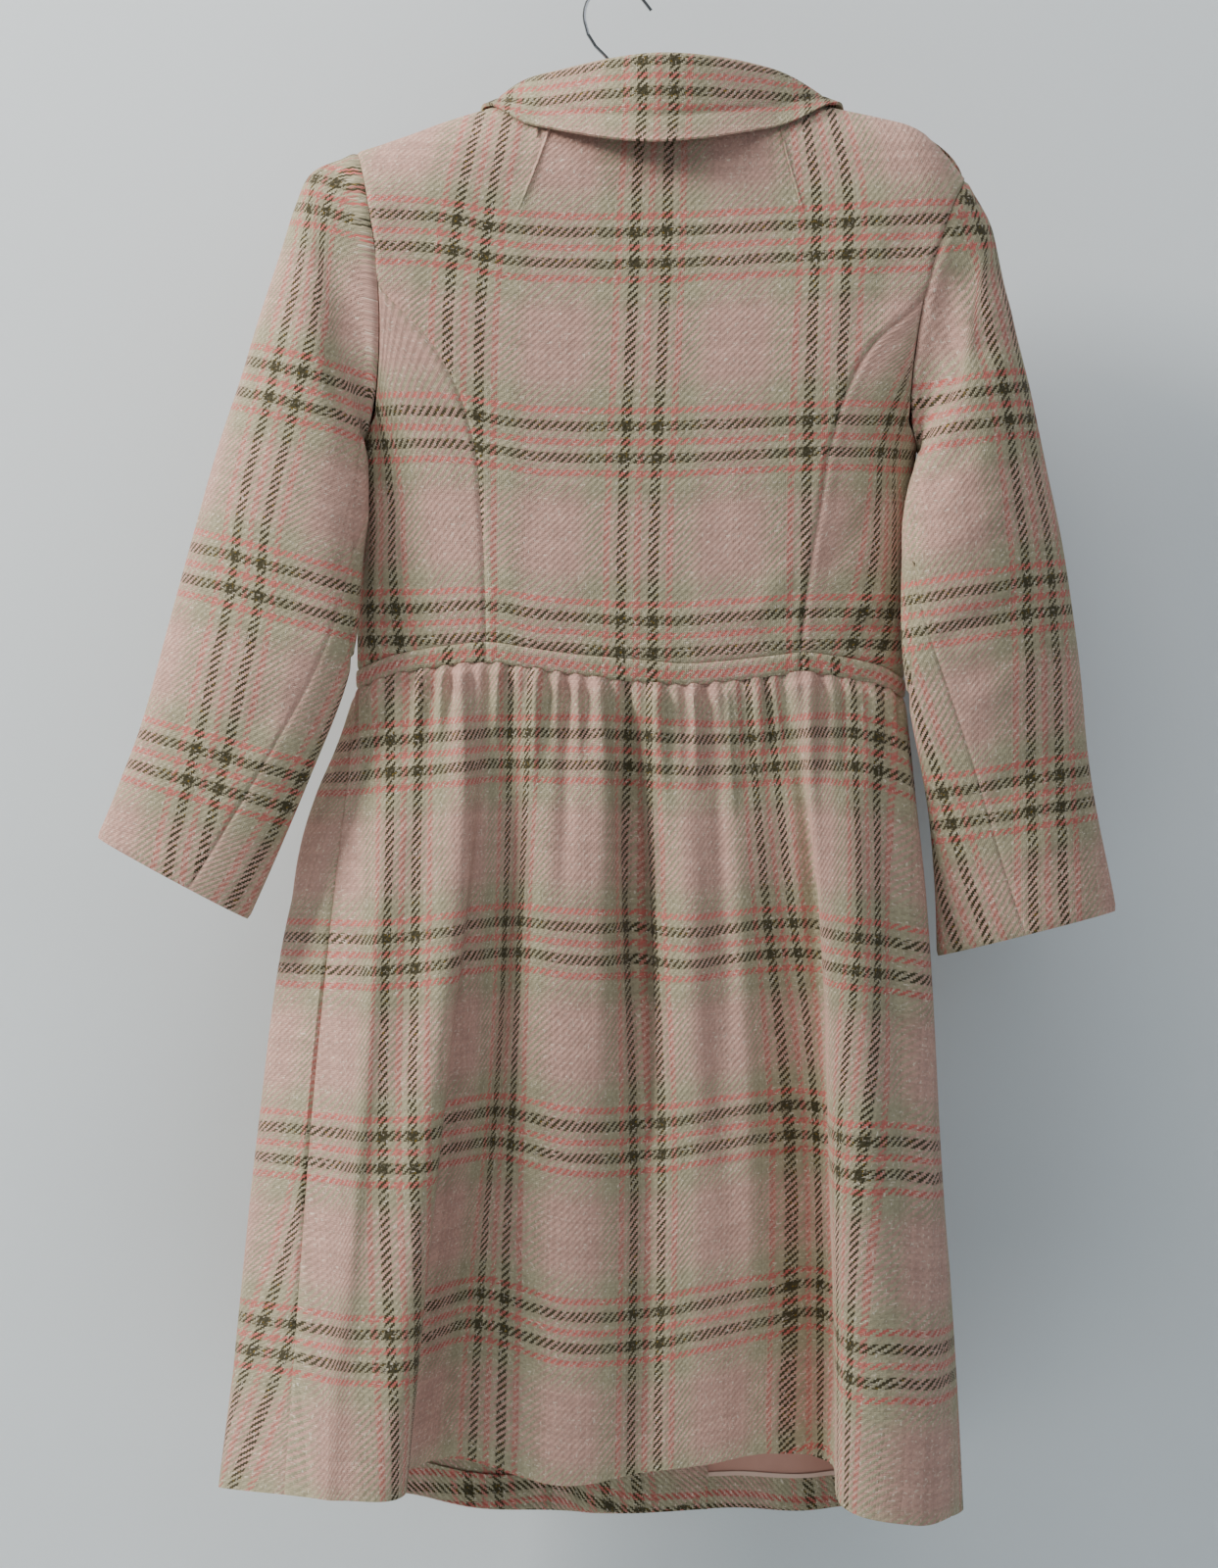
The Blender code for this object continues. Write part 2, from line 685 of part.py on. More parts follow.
class Skirt:
    """The skirt's surface: a place round it in waist millimetres from the left side seam, and a share down."""

    def __init__(self):
        rows = BACK_FOLDS + FRONT_FOLDS
        angles = waist_places(rows)
        angles[0] = math.pi / 2
        angles[len(BACK_FOLDS) - 1] = -math.pi / 2
        angles = np.where(angles > math.pi / 2 + 1e-9, angles - 2 * math.pi, angles)
        points = torso_point(angles, BAND_GUESS_HEIGHT)
        around = np.roll(points, -1, axis=0) - points
        places = np.concatenate([[0], np.cumsum(np.linalg.norm(around, axis=1))])
        self.girth = places[-1]
        self.right_seam = places[len(BACK_FOLDS) - 1]
        self.places = places[:-1]
        self.angles = angles
        self.rows = rows
        self.centre_front = places[len(BACK_FOLDS) + [row.name for row in FRONT_FOLDS].index("centre front")]
        self.pitch = self.right_seam / BACK_GATHERS

    def around(self, place, values, turn=0.0):
        """Values smoothed once round the skirt, with a few rows repeated past each end."""
        ends = 3
        values = np.asarray(values, float)
        knots = np.concatenate([self.places[-ends:] - self.girth, self.places, self.places[:ends] + self.girth])
        repeated = np.concatenate([values[-ends:] - turn, values, values[:ends] + turn])
        return smooth(np.mod(place, self.girth), knots, repeated)

    def base(self, place, share):
        """The skirt's surface without its gathers."""
        angle = self.around(place, self.angles, -2 * math.pi)
        top = torso_point(angle, band_heights(angle)[1])
        hem = self.around(place, column(self.rows, "hem_height"))
        weights = smooth(share, FOLD_LEVELS, np.eye(len(FOLD_LEVELS)))
        x_levels = [top[..., 0]] + [self.around(place, column(self.rows, n)) for n in ("high_x", "low_x", "hem_x")]
        y_levels = [top[..., 1]] + [self.around(place, column(self.rows, n)) for n in ("high_y", "low_y", "hem_y")]
        x = sum(weights[..., level] * x_levels[level] for level in range(len(FOLD_LEVELS)))
        y = sum(weights[..., level] * y_levels[level] for level in range(len(FOLD_LEVELS)))
        z = top[..., 2] + (hem - top[..., 2]) * share
        return np.stack([x + self.side_puff(place, share), y, z], axis=-1)

    def side_puff(self, place, share):
        """How far the left front's side is pushed out just below the waistband."""
        from_seam = (self.girth - np.mod(place, self.girth)) / PUFF_WIDTH
        across = np.sin(math.pi * np.clip(from_seam, 0, 1))
        return SIDE_PUFF * across * np.sin(math.pi * np.clip(share / PUFF_END, 0, 1))

    def gather(self, place, share):
        """How far the gathers stand out: a wave of uneven height that fades down the skirt."""
        length = self.base(place, 0.0)[..., 2] - self.around(place, column(self.rows, "hem_height"))
        drop = np.asarray(share, float) * length
        depths = [row.drop for row in GATHER_ROWS] + [FIRST_PLAIN_ROW * SKIRT_LENGTH]
        strengths = [row.strength for row in GATHER_ROWS] + [0.0]
        strength = np.interp(drop, depths, strengths)
        uneven = 1 + GATHER_UNEVENNESS * np.sin(place / GATHER_BEATS[0]) * np.sin(place / GATHER_BEATS[1] + 1)
        from_edge = np.abs(place - self.centre_front) - FRONT_OVERLAP
        flat = np.clip(from_edge / GATHER_FLAT_AT_EDGE, 0, 1)
        wave = np.sin(2 * math.pi * place / self.pitch)
        return GATHER_HEIGHT * strength * uneven * flat * wave

    def normal_of(self, surface, place, share):
        """Outward normals of a surface of place and share, from its slopes."""
        step_place, step_share = 0.4, 0.0008
        near = np.clip(share, step_share, 1 - step_share)
        along = surface(place + step_place, share) - surface(place - step_place, share)
        down = surface(place, near + step_share) - surface(place, near - step_share)
        return unit(np.cross(down, along))

    def surface(self, place, share):
        """The skirt's outer surface with its gathers."""
        place, share = np.broadcast_arrays(np.asarray(place, float), np.asarray(share, float))
        plain = self.base(place, share)
        level = self.normal_of(self.base, place, share) * np.array([1.0, 1.0, 0.0])
        return plain + unit(level) * self.gather(place, share)[..., None]

    def normal(self, place, share):
        """Outward normals of the gathered surface."""
        return self.normal_of(self.surface, place, share)


# Meshes


def add_object(name, points, faces, finish):
    """A mesh object in the coat's collection, from millimetre points, with its normals facing out."""
    mesh = bpy.data.meshes.new(name)
    mesh.from_pydata([tuple(point) for point in np.asarray(points) * METRES], [], faces)
    shaped = bmesh.new()
    shaped.from_mesh(mesh)
    bmesh.ops.recalc_face_normals(shaped, faces=shaped.faces)
    shaped.to_mesh(mesh)
    shaped.free()
    mesh.shade_smooth()
    mesh.set_sharp_from_angle(angle=math.radians(50))
    thing = bpy.data.objects.new(name, mesh)
    return place_object(thing, finish)


def place_object(thing, finish):
    """Puts an object in the coat's collection under the hanger's empty, with its finish."""
    bpy.data.collections[COAT].objects.link(thing)
    thing.parent = bpy.data.objects["hook_origin"]
    thing.data.materials.append(finish_of(thing.name, finish))
    return thing


def finish_of(name, finish):
    """One piece's own material."""
    material = bpy.data.materials.new(f"{name}_{finish}")
    material.use_nodes = True
    shader = material.node_tree.nodes["Principled BSDF"]
    shader.inputs["Base Color"].default_value = COLOURS[finish]
    shader.inputs["Roughness"].default_value = ROUGHNESS[finish]
    shader.inputs["Metallic"].default_value = 1.0 if finish == "chrome" else 0.0
    material.diffuse_color = COLOURS[finish]
    return material


def grid_faces(rows, columns, start=0):
    """Four-sided faces of a grid of points."""
    faces = []
    for row in range(rows - 1):
        for step in range(columns - 1):
            corner = start + row * columns + step
            faces.append((corner, corner + 1, corner + columns + 1, corner + columns))
    return faces


def border_of(rows, columns, start=0):
    """The points round a grid's border, in order."""
    top = [start + step for step in range(columns)]
    end = [start + row * columns + columns - 1 for row in range(1, rows)]
    bottom = [start + (rows - 1) * columns + step for step in range(columns - 2, -1, -1)]
    back = [start + row * columns for row in range(rows - 2, 0, -1)]
    return top + end + bottom + back


def rim_faces(outer_border, inner_border):
    """Faces that close a wall between the borders of its two sides."""
    count = len(outer_border)
    return [
        (outer_border[i], outer_border[(i + 1) % count], inner_border[(i + 1) % count], inner_border[i])
        for i in range(count)
    ]


def add_wall(name, outer, inner, finish="tweed"):
    """A closed wall between two grids of points."""
    rows, columns = outer.shape[:2]
    count = rows * columns
    points = np.concatenate([outer.reshape(-1, 3), inner.reshape(-1, 3)])
    faces = grid_faces(rows, columns)
    faces += [face[::-1] for face in grid_faces(rows, columns, count)]
    faces += rim_faces(border_of(rows, columns), border_of(rows, columns, count))
    return add_object(name, points, faces, finish)


def make_bodice():
    """The five bodice panels."""
    add_wall("back_centre", *wall_from_torso(back_centre_grid()))
    for side in ("left", "right"):
        add_wall(f"back_side_{side}", *wall_from_torso(back_side_grid(side)))
        grid = front_grid(side)
        lift = under_lap(torso_point(grid[..., 0], grid[..., 1]), side)
        add_wall(f"front_{side}", *wall_from_torso(grid, lift=lift))


def band_grid(first, last, count):
    """A stretch of the waistband between two directions round the torso."""
    top = edge_of_band(first, last, count, 0)
    bottom = edge_of_band(first, last, count, 1)
    share = np.linspace(0, 1, BAND_ROWS + 1)[:, None, None]
    return bottom + (top - bottom) * share


def make_waistband():
    """The waistband's five pieces, seamed above the bodice's seams."""
    left, right = princess_line("left")[0, 0], princess_line("right")[0, 0]
    back_columns = 2 * SHOULDER_COLUMNS + BACK_NECK_COLUMNS
    front_columns = SHOULDER_COLUMNS + FRONT_NECK_COLUMNS
    pieces = {"waistband_back": (left, right, back_columns)}
    for side, start in (("left", left), ("right", right)):
        turn = math.copysign(math.pi / 2, start)
        edge = float(torso_angle(front_edge_x(side), np.array(BAND_GUESS_HEIGHT), side))
        pieces[f"waistband_side_{side}"] = (start, turn, SIDE_COLUMNS)
        pieces[f"waistband_front_{side}"] = (turn, edge, front_columns)
    for name, (first, last, count) in pieces.items():
        grid = band_grid(first, last, count)
        side = "left" if name.endswith("left") else "right"
        lift = under_lap(torso_point(grid[..., 0], grid[..., 1]), side)
        add_wall(name, *wall_from_torso(grid, lift=lift))


def skirt_lap(skirt, place, side):
    """How far the left skirt front moves in, where the right one lies over it."""
    if side != "left":
        return np.zeros(np.shape(place))
    past = np.asarray(place) - skirt.centre_front - FRONT_OVERLAP
    share = np.clip((LAP_START - past) / (LAP_START - LAP_FULL), 0, 1)
    return -(share**2) * (3 - 2 * share) * (SKIRT_CLOTH + LAYER_GAP)


def skirt_wall(skirt, place, share, side, inset):
    """Outer and inner points of a grid on the skirt."""
    place, share = np.broadcast_arrays(place, share)
    normals = skirt.normal(place, share)
    lift = skirt_lap(skirt, place, side)
    outer = skirt.surface(place, share) + normals * np.asarray(lift)[..., None]
    outer = outer.copy()
    for edge, neighbour in ((0, 1), (-1, -2)):
        outer[:, edge] += inset * unit(outer[:, neighbour] - outer[:, edge])
    return outer, outer - SKIRT_CLOTH * normals


def fan_faces(fine, coarse, per):
    """Triangles that join a row of fine points to a row with one point for every few of them."""
    faces = []
    for step in range(len(coarse) - 1):
        group = fine[step * per : step * per + per + 1]
        half = (per + 1) // 2
        for index in range(per):
            near = coarse[step] if index < half else coarse[step + 1]
            faces.append((group[index], group[index + 1], near))
        faces.append((coarse[step], group[half], coarse[step + 1]))
    return faces


def gather_places(first, last, gathers):
    """Places of a skirt piece's fine columns, a whole number for each coarse one."""
    columns = gathers * COLUMNS_PER_GATHER
    columns += -columns % FINE_PER_COARSE
    return np.linspace(first, last, columns + 1)


def coarse_places(first, last, gathers):
    """Places of a skirt piece's coarse columns."""
    return gather_places(first, last, gathers)[::FINE_PER_COARSE]


def skirt_span(skirt, side):
    """Where a skirt piece starts and ends round the skirt, and how many gathers it has."""
    return {
        "back": (0.0, skirt.right_seam, BACK_GATHERS),
        "right": (skirt.right_seam, skirt.centre_front + FRONT_OVERLAP, FRONT_GATHERS),
        "left": (skirt.centre_front - FRONT_OVERLAP, skirt.girth, FRONT_GATHERS),
    }[side]


def make_skirt_piece(skirt, name, side):
    """One gathered skirt piece: fine rows where the gathers stand, coarser rows below."""
    per = FINE_PER_COARSE
    fine_places = gather_places(*skirt_span(skirt, side))
    fine_shares = column(GATHER_ROWS, "drop") / SKIRT_LENGTH
    coarse_shares = np.linspace(FIRST_PLAIN_ROW, 1, SKIRT_ROWS)
    fine = skirt_wall(skirt, fine_places[None, :], fine_shares[:, None], side, SEAM_INSET)
    coarse = skirt_wall(skirt, fine_places[None, ::per], coarse_shares[:, None], side, SEAM_INSET)
    points, faces, borders = [], [], []
    offset = 0
    for wall_side, (upper, lower) in enumerate(zip(fine, coarse)):
        upper = upper.copy()
        upper[0, :, 2] -= WAIST_INSET
        upper_count = upper.shape[0] * upper.shape[1]
        lower_start = offset + upper_count
        found = grid_faces(upper.shape[0], upper.shape[1], offset)
        found += grid_faces(lower.shape[0], lower.shape[1], lower_start)
        last_fine = list(range(lower_start - upper.shape[1], lower_start))
        first_coarse = list(range(lower_start, lower_start + lower.shape[1]))
        found += fan_faces(last_fine, first_coarse, per)
        faces += found if wall_side == 0 else [face[::-1] for face in found]
        wide, narrow = upper.shape[1], lower.shape[1]
        border = list(range(offset, offset + wide))
        border += [offset + row * wide + wide - 1 for row in range(1, upper.shape[0])]
        border += [lower_start + row * narrow + narrow - 1 for row in range(lower.shape[0])]
        hem_row = lower_start + (lower.shape[0] - 1) * narrow
        border += [hem_row + step for step in range(narrow - 2, -1, -1)]
        border += [lower_start + row * narrow for row in range(lower.shape[0] - 2, -1, -1)]
        border += [offset + row * wide for row in range(upper.shape[0] - 1, 0, -1)]
        borders.append(border)
        points += [upper.reshape(-1, 3), lower.reshape(-1, 3)]
        offset = lower_start + lower.shape[0] * narrow
    faces += rim_faces(*borders)
    add_object(name, np.concatenate(points), faces, "tweed")


def make_skirt(skirt):
    """The back and the two fronts of the gathered skirt."""
    make_skirt_piece(skirt, "skirt_back", "back")
    for side in ("right", "left"):
        make_skirt_piece(skirt, f"skirt_front_{side}", side)


def below_panel(grid, count, rows, drops):
    """Points on the inside of a skirt grid's lowest rows: each column's points slide along that column.

    grid holds inner points and normals, count how many columns are used, and drops how far above the hem
    each point lies, in steps of the grid's rows.
    """
    points, normals = grid
    found = []
    for values in (points[:, :count], normals[:, :count]):
        place = len(values) - 1 - drops
        low = np.clip(np.floor(place).astype(int), 0, rows - 2)
        part = (place - low)[..., None]
        columns = np.arange(count)[None, :]
        found.append(values[low, columns] * (1 - part) + values[low + 1, columns] * part)
    return found


def make_hem_inside(skirt):
    """The left front's facing with its round lower corner, and the right front's lining."""
    shares = np.linspace(FIRST_PLAIN_ROW, 1, SKIRT_ROWS)
    row_height = (1 - FIRST_PLAIN_ROW) / (SKIRT_ROWS - 1) * SKIRT_LENGTH
    for side, name, thickness, finish in (
        ("left", "facing_left", SKIRT_CLOTH, "tweed"),
        ("right", "lining_right", LINING_CLOTH, "satin"),
    ):
        places = coarse_places(*skirt_span(skirt, side))
        if side == "right":
            places = places[::-1]
        outer, inner = skirt_wall(skirt, places[None, :], shares[:, None], side, SEAM_INSET)
        normals = unit(outer - inner)
        start = int(side == "right") * LINING_FIRST_COLUMN
        inner, normals = inner[:, start:], normals[:, start:]
        count = FACING_COLUMNS if side == "left" else inner.shape[1] - 1
        up = np.linspace(1, 0, LAYER_ROWS)[:, None]
        if side == "left":
            across = np.linalg.norm(inner[-1, :count] - inner[-1, 0], axis=-1)
            corner = np.clip(1 - across / FACING_CORNER, 0, 1)
            low = FACING_HEM + FACING_CORNER * (1 - np.sqrt(1 - corner**2))
            high = FACING_HEIGHT
        else:
            low, high = np.full(count, HEM_TURN_UP), LINING_HEIGHT
        drops = (low + (high - low) * up) / row_height
        points, out = below_panel((inner, normals), count, SKIRT_ROWS, drops)
        near = points - out * LAYER_GAP
        add_wall(name, near, near - out * thickness, finish)


# Sleeves


def armhole_loop(side):
    """The armhole's points once round, from the shoulder tip down the back and up the front."""
    upper = seam(ARMHOLE_BACK_UPPER[side], "back")
    lower = back_lower_armhole(side)
    front = front_armhole(side)
    line = np.concatenate([upper, lower[1:], front[1:-1]])
    return torso_point(line[:, 0], line[:, 1])


class Sleeve:
    """A sleeve's surface: a section from the armhole (0) to the cuff (1), and an angle round it."""

    def __init__(self, side):
        self.loop = armhole_loop(side)
        self.turn = 1 if side == "left" else -1
        self.rows = SLEEVE[side]
        closed = np.concatenate([self.loop, self.loop[:1]])
        lengths = np.linalg.norm(np.diff(closed, axis=0), axis=1)
        under = ARMHOLE_UPPER_ROWS + ARMHOLE_LOWER_ROWS
        down, up = lengths[:under], lengths[under:]
        first = np.concatenate([[0], np.cumsum(down) / down.sum() * 180])
        second = 180 + np.cumsum(up) / up.sum() * 180
        self.angles = np.concatenate([first, second])
        self.closed = closed
        outer = [self.loop[0]] + [np.array([r.outer_x, r.outer_y, r.outer_z]) for r in self.rows]
        inner = [self.loop[under]] + [np.array([r.inner_x, r.inner_y, r.inner_z]) for r in self.rows]
        self.outer, self.inner = np.array(outer), np.array(inner)
        self.depth = np.array([40.0] + [r.half_depth for r in self.rows])
        middle = (self.outer + self.inner) / 2
        steps = np.linalg.norm(np.diff(middle, axis=0), axis=1)
        places = np.concatenate([[0], np.cumsum(steps)])
        self.places = places / places[-1]

    def oval(self, share, degrees):
        """The oval section through the outer and inner edge."""
        outer = smooth(share, self.places, self.outer)
        inner = smooth(share, self.places, self.inner)
        depth = smooth(share, self.places, self.depth)
        across = unit(outer - inner)
        forward = np.array([0.0, 1.0, 0.0]) - across * across[..., 1:2]
        radians = np.radians(degrees)[..., None]
        fuller = FRONT_FULLNESS * np.clip(1 - np.asarray(share) / FRONT_FULLNESS_END, 0, 1)[..., None]
        deep = depth[..., None] + np.where(np.sin(radians) < 0, fuller, 0)
        half = (outer - inner) / 2
        points = (outer + inner) / 2 + half * np.cos(radians) + unit(forward) * deep * np.sin(radians)
        from_corner = np.clip((np.mod(degrees, 360) - CORNER_AT) / CORNER_REACH, -1, 1)
        corner = CORNER_FULLNESS * np.cos(from_corner * math.pi / 2) ** 2
        points[..., 0] -= self.turn * corner * np.clip(1 - np.asarray(share) / CORNER_END, 0, 1)
        return points

    def surface(self, share, degrees):
        """The sleeve's outer surface: the armhole's own line, which turns into ovals down the sleeve."""
        share, degrees = np.broadcast_arrays(np.asarray(share, float), np.asarray(degrees, float))
        wrapped = np.mod(degrees, 360)
        columns = [np.interp(wrapped, self.angles, self.closed[:, axis]) for axis in range(3)]
        armhole = np.stack(columns, axis=-1)
        start = self.oval(np.zeros(share.shape), degrees)
        fade = np.clip(1 - share / self.places[ARMHOLE_FADE_ROW], 0, 1)[..., None] ** ARMHOLE_FADE_POWER
        return self.oval(share, degrees) + (armhole - start) * fade


def sleeve_columns(sleeve, first, last, cuff_first, cuff_last, split):
    """Angles of a sleeve piece's columns at the armhole and at the cuff."""
    samples = list(range(first, last + 1))
    count = len(sleeve.loop)
    at_armhole = np.array([sleeve.angles[s % count] + 360 * (s // count) for s in samples])
    fine = np.linspace(0, len(samples) - 1, (len(samples) - 1) * split + 1)
    at_armhole = np.interp(fine, np.arange(len(samples)), at_armhole)
    at_cuff = np.linspace(cuff_first, cuff_last, len(at_armhole))
    return at_armhole, at_cuff


def make_sleeve(side):
    """The top and the under sleeve, cut from one grid that runs all round the sleeve."""
    sleeve = Sleeve(side)
    count = len(sleeve.loop)
    back, front = BACK_SEAM_SAMPLE, FRONT_SEAM_SAMPLE
    back_cuff = BACK_SEAM_AT_CUFF[side]
    top = sleeve_columns(sleeve, front, back + count, FRONT_SEAM_AT_CUFF, back_cuff + 360, 1)
    under = sleeve_columns(sleeve, back, front, back_cuff, FRONT_SEAM_AT_CUFF, UNDER_SLEEVE_SPLIT)
    at_armhole, at_cuff = (np.concatenate([first, second[1:-1] + 360]) for first, second in zip(top, under))
    share = np.linspace(0, 1, SLEEVE_ROWS + 1)[:, None] ** SLEEVE_ROW_POWER
    points = sleeve.surface(share, at_armhole[None, :] * (1 - share) + at_cuff[None, :] * share)
    low = np.clip((UNDERARM_PUSH[0] - points[..., 2]) / (UNDERARM_PUSH[0] - UNDERARM_PUSH[1]), 0, 1)
    low = low * (share > 0)
    points = points + lie_outside(points, UNDERARM_GAP) * low[..., None]
    around = np.roll(points, -1, axis=1) - np.roll(points, 1, axis=1)
    normals = unit(np.cross(np.gradient(points, axis=0), around)) * sleeve.turn
    for _ in range(NORMAL_BLENDS):
        beside = np.roll(normals, 1, axis=1) + np.roll(normals, -1, axis=1)
        above = np.concatenate([normals[:1], normals[:-1]])
        below = np.concatenate([normals[1:], normals[-1:]])
        normals = unit(2 * normals + beside + above + below)
    at_body = torso_normal_round(points[0])
    alike = np.clip(2 * np.sum(at_body * normals[0], axis=-1, keepdims=True), 0, 1)
    normals[0] = unit(at_body * alike + normals[0] * (1 - alike))
    seam_column = len(top[0]) - 1
    pieces = {
        "top": np.arange(seam_column + 1),
        "under": np.append(np.arange(seam_column, points.shape[1]), 0),
    }
    for name, columns in pieces.items():
        outer = inset_edges(points[:, columns], SLEEVE_INSET)
        add_wall(f"sleeve_{side}_{name}", outer, outer - SLEEVE_CLOTH * normals[:, columns])


# Collar


def neckline_loop():
    """The neckline's points and normals, once round from the left front's centre over the back."""
    left = front_neckline("left")
    right = front_neckline("right")
    line = np.concatenate([left[::-1], back_neckline()[1:-1], right])
    points = torso_point(line[:, 0], line[:, 1])
    return points, torso_normal(points)


def make_collar():
    """The turned-down collar: up from the neckline, over the roll and down to its lipped edge."""
    points, normals = neckline_loop()
    keep = [i for i, point in enumerate(points) if not past_centre(i, point, len(points))]
    points, normals = points[keep], normals[keep]
    lengths = np.linalg.norm(np.diff(points, axis=0), axis=1)
    share = np.concatenate([[0], np.cumsum(lengths)])
    share = share / share[-1]
    roll = np.stack(table_at(share, COLLAR, "share", ("roll_x", "roll_y", "roll_z")), axis=-1)
    edge = np.stack(table_at(share, COLLAR, "share", ("edge_x", "edge_y", "edge_z")), axis=-1)
    foot = points + normals * COLLAR_SEAT
    outward = edge - foot
    outward[:, 2] = 0
    outward = unit(outward)
    rise = np.linalg.norm(roll - foot, axis=1, keepdims=True)
    fall = np.linalg.norm(edge - roll, axis=1, keepdims=True)
    up = np.array([0.0, 0.0, 1.0])
    rows = []
    for part in np.linspace(0, 1, COLLAR_ROWS // 3 + 1)[:-1]:
        rows.append(hermite(part, foot, roll, up * rise, outward * ROLL_STIFFNESS))
    for part in np.linspace(0, 1, COLLAR_ROWS - COLLAR_ROWS // 3 + 1):
        arrive = unit(edge - roll + outward * 4.0) * fall
        row = hermite(part, roll, edge, outward * 2.2 * ROLL_STIFFNESS, arrive)
        rows.append(row + outward * COLLAR_LIP * max(0.0, (part - 0.8) / 0.2))
    visible = np.array(rows)
    along = np.gradient(visible, axis=0)
    around = np.gradient(visible, axis=1)
    hidden = COLLAR_CLOTH * unit(np.cross(around, along))
    stand, fall = slice(1, COLLAR_ROWS // 3 + 1), slice(COLLAR_ROWS // 3 + 1, None)
    for rows, gap in ((slice(0, 1), COLLAR_SEAT), (stand, STAND_REST), (fall, COLLAR_REST)):
        visible[rows] += lie_outside(visible[rows], gap)
        visible[rows] += lie_outside(visible[rows] + hidden[rows], gap)
    add_wall("collar", visible, visible + hidden)


def past_centre(index, point, count):
    """Whether a neckline point lies on the stretch that laps past the centre front."""
    if index < count // 2:
        return point[0] < CENTRE_FRONT_X + 2.0 and point[1] < 0
    return point[0] > CENTRE_FRONT_X - 2.0 and point[1] < 0


def hermite(part, start, end, leave, arrive):
    """A point on the curve between two points with the given tangents."""
    return (
        (1 + 2 * part) * (1 - part) ** 2 * start
        + part * (1 - part) ** 2 * leave
        + part**2 * (3 - 2 * part) * end
        + part**2 * (part - 1) * arrive
    )


# Hanger and buttons


def add_wire(name, path, radius, finish, sides):
    """A round bar along a path of millimetre points."""
    curve = bpy.data.curves.new(name, "CURVE")
    curve.dimensions = "3D"
    curve.bevel_depth = radius * METRES
    curve.bevel_resolution = sides
    curve.use_fill_caps = True
    line = curve.splines.new("POLY")
    line.points.add(len(path) - 1)
    for point, place in zip(line.points, path):
        point.co = (place[0] * METRES, place[1] * METRES, place[2] * METRES, 1.0)
    thing = bpy.data.objects.new(name, curve)
    return place_object(thing, finish)


def bar_under_shoulder(side):
    """Points of the bar's centre line, just under the inside of the shoulder seam's straight stretches."""
    x = np.linspace(ARMHOLE_BACK_UPPER[side][0].x, NECK_SHOULDER[side].x, SHOULDER_COLUMNS + 1)
    z = ridge_height(x)
    slope = np.abs(np.diff(z) / np.diff(x))
    steepest = np.maximum(np.append(slope, 0), np.append(0, slope))
    drop = (CLOTH + BAR_CLEARANCE + BAR_RADIUS) * np.sqrt(1 + steepest**2)
    return [(across, 0.0, height) for across, height in zip(x, z - drop)]


def make_hanger():
    """The bar inside the shoulders and its wire hook."""
    path = [(BAR_LEFT_TIP[0], 0.0, BAR_LEFT_TIP[1])] + bar_under_shoulder("left")
    path += [(x, 0.0, BAR_CENTRE_HEIGHT) for x in BAR_NECK_PLACES]
    path += bar_under_shoulder("right")[:BAR_RIGHT_POINTS:-1] + [(BAR_RIGHT_TIP[0], 0.0, BAR_RIGHT_TIP[1])]
    add_wire("hanger_bar", path, BAR_RADIUS, "wood", 2)
    foot = BAR_CENTRE_HEIGHT + BAR_RADIUS + 0.3
    hook = [(0.0, 0.0, foot), (0.0, 0.0, -60.0), (1.5, 0.0, -54.0), (6.5, 0.0, -48.0), (13.5, 0.0, -41.0)]
    hook += [(18.5, 0.0, -33.0)]
    for degrees in range(-12, 146, 12):
        turn = math.radians(degrees)
        hook.append((HOOK_RADIUS * math.cos(turn), 0.0, HOOK_CENTRE + HOOK_RADIUS * math.sin(turn)))
    hook += [(-20.5, 0.0, -11.5), (-24.5, 0.0, -16.8)]
    add_wire("hanger_hook", hook, HOOK_WIRE, "chrome", 2)


def make_buttons():
    """Three plain buttons down the centre front."""
    for number, height in enumerate(BUTTON_HEIGHTS, start=1):
        front = torso_point(torso_angle(CENTRE_FRONT_X, np.array(height), "right"), height)
        disc = bmesh.new()
        bmesh.ops.create_cone(
            disc,
            cap_ends=True,
            segments=24,
            radius1=BUTTON_RADIUS * METRES,
            radius2=(BUTTON_RADIUS - 1.0) * METRES,
            depth=BUTTON_THICKNESS * METRES,
        )
        mesh = bpy.data.meshes.new(f"button_{number}")
        disc.to_mesh(mesh)
        disc.free()
        thing = bpy.data.objects.new(f"button_{number}", mesh)
        normal = torso_normal(front[None])[0]
        thing.rotation_euler = Vector(normal).to_track_quat("Z", "Y").to_euler()
        thing.location = (front + normal * (BUTTON_THICKNESS / 2 + BUTTON_SEAT)) * METRES
        place_object(thing, "button")


def clear_scene():
    """Removes what the scene holds and makes the coat's collection and its empty."""
    for thing in list(bpy.data.objects):
        bpy.data.objects.remove(thing, do_unlink=True)
    collection = bpy.data.collections.new(COAT)
    bpy.context.scene.collection.children.link(collection)
    empty = bpy.data.objects.new("hook_origin", None)
    collection.objects.link(empty)


def main():
    clear_scene()
    make_bodice()
    make_waistband()
    skirt = Skirt()
    make_skirt(skirt)
    make_hem_inside(skirt)
    for side in ("left", "right"):
        make_sleeve(side)
    make_collar()
    make_hanger()
    make_buttons()


main()
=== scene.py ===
"""Looks of a gathered, plaid wool tweed coat on a plain hanger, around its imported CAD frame.

Lengths in the tables are millimetres of the coat's frame: the origin is inside the top of the hanger's
hook, +Z is up, the coat's back faces +Y and its wearer's left is +X.
"""

import logging
import math
from collections import namedtuple
from collections.abc import Callable
from dataclasses import dataclass
from enum import StrEnum

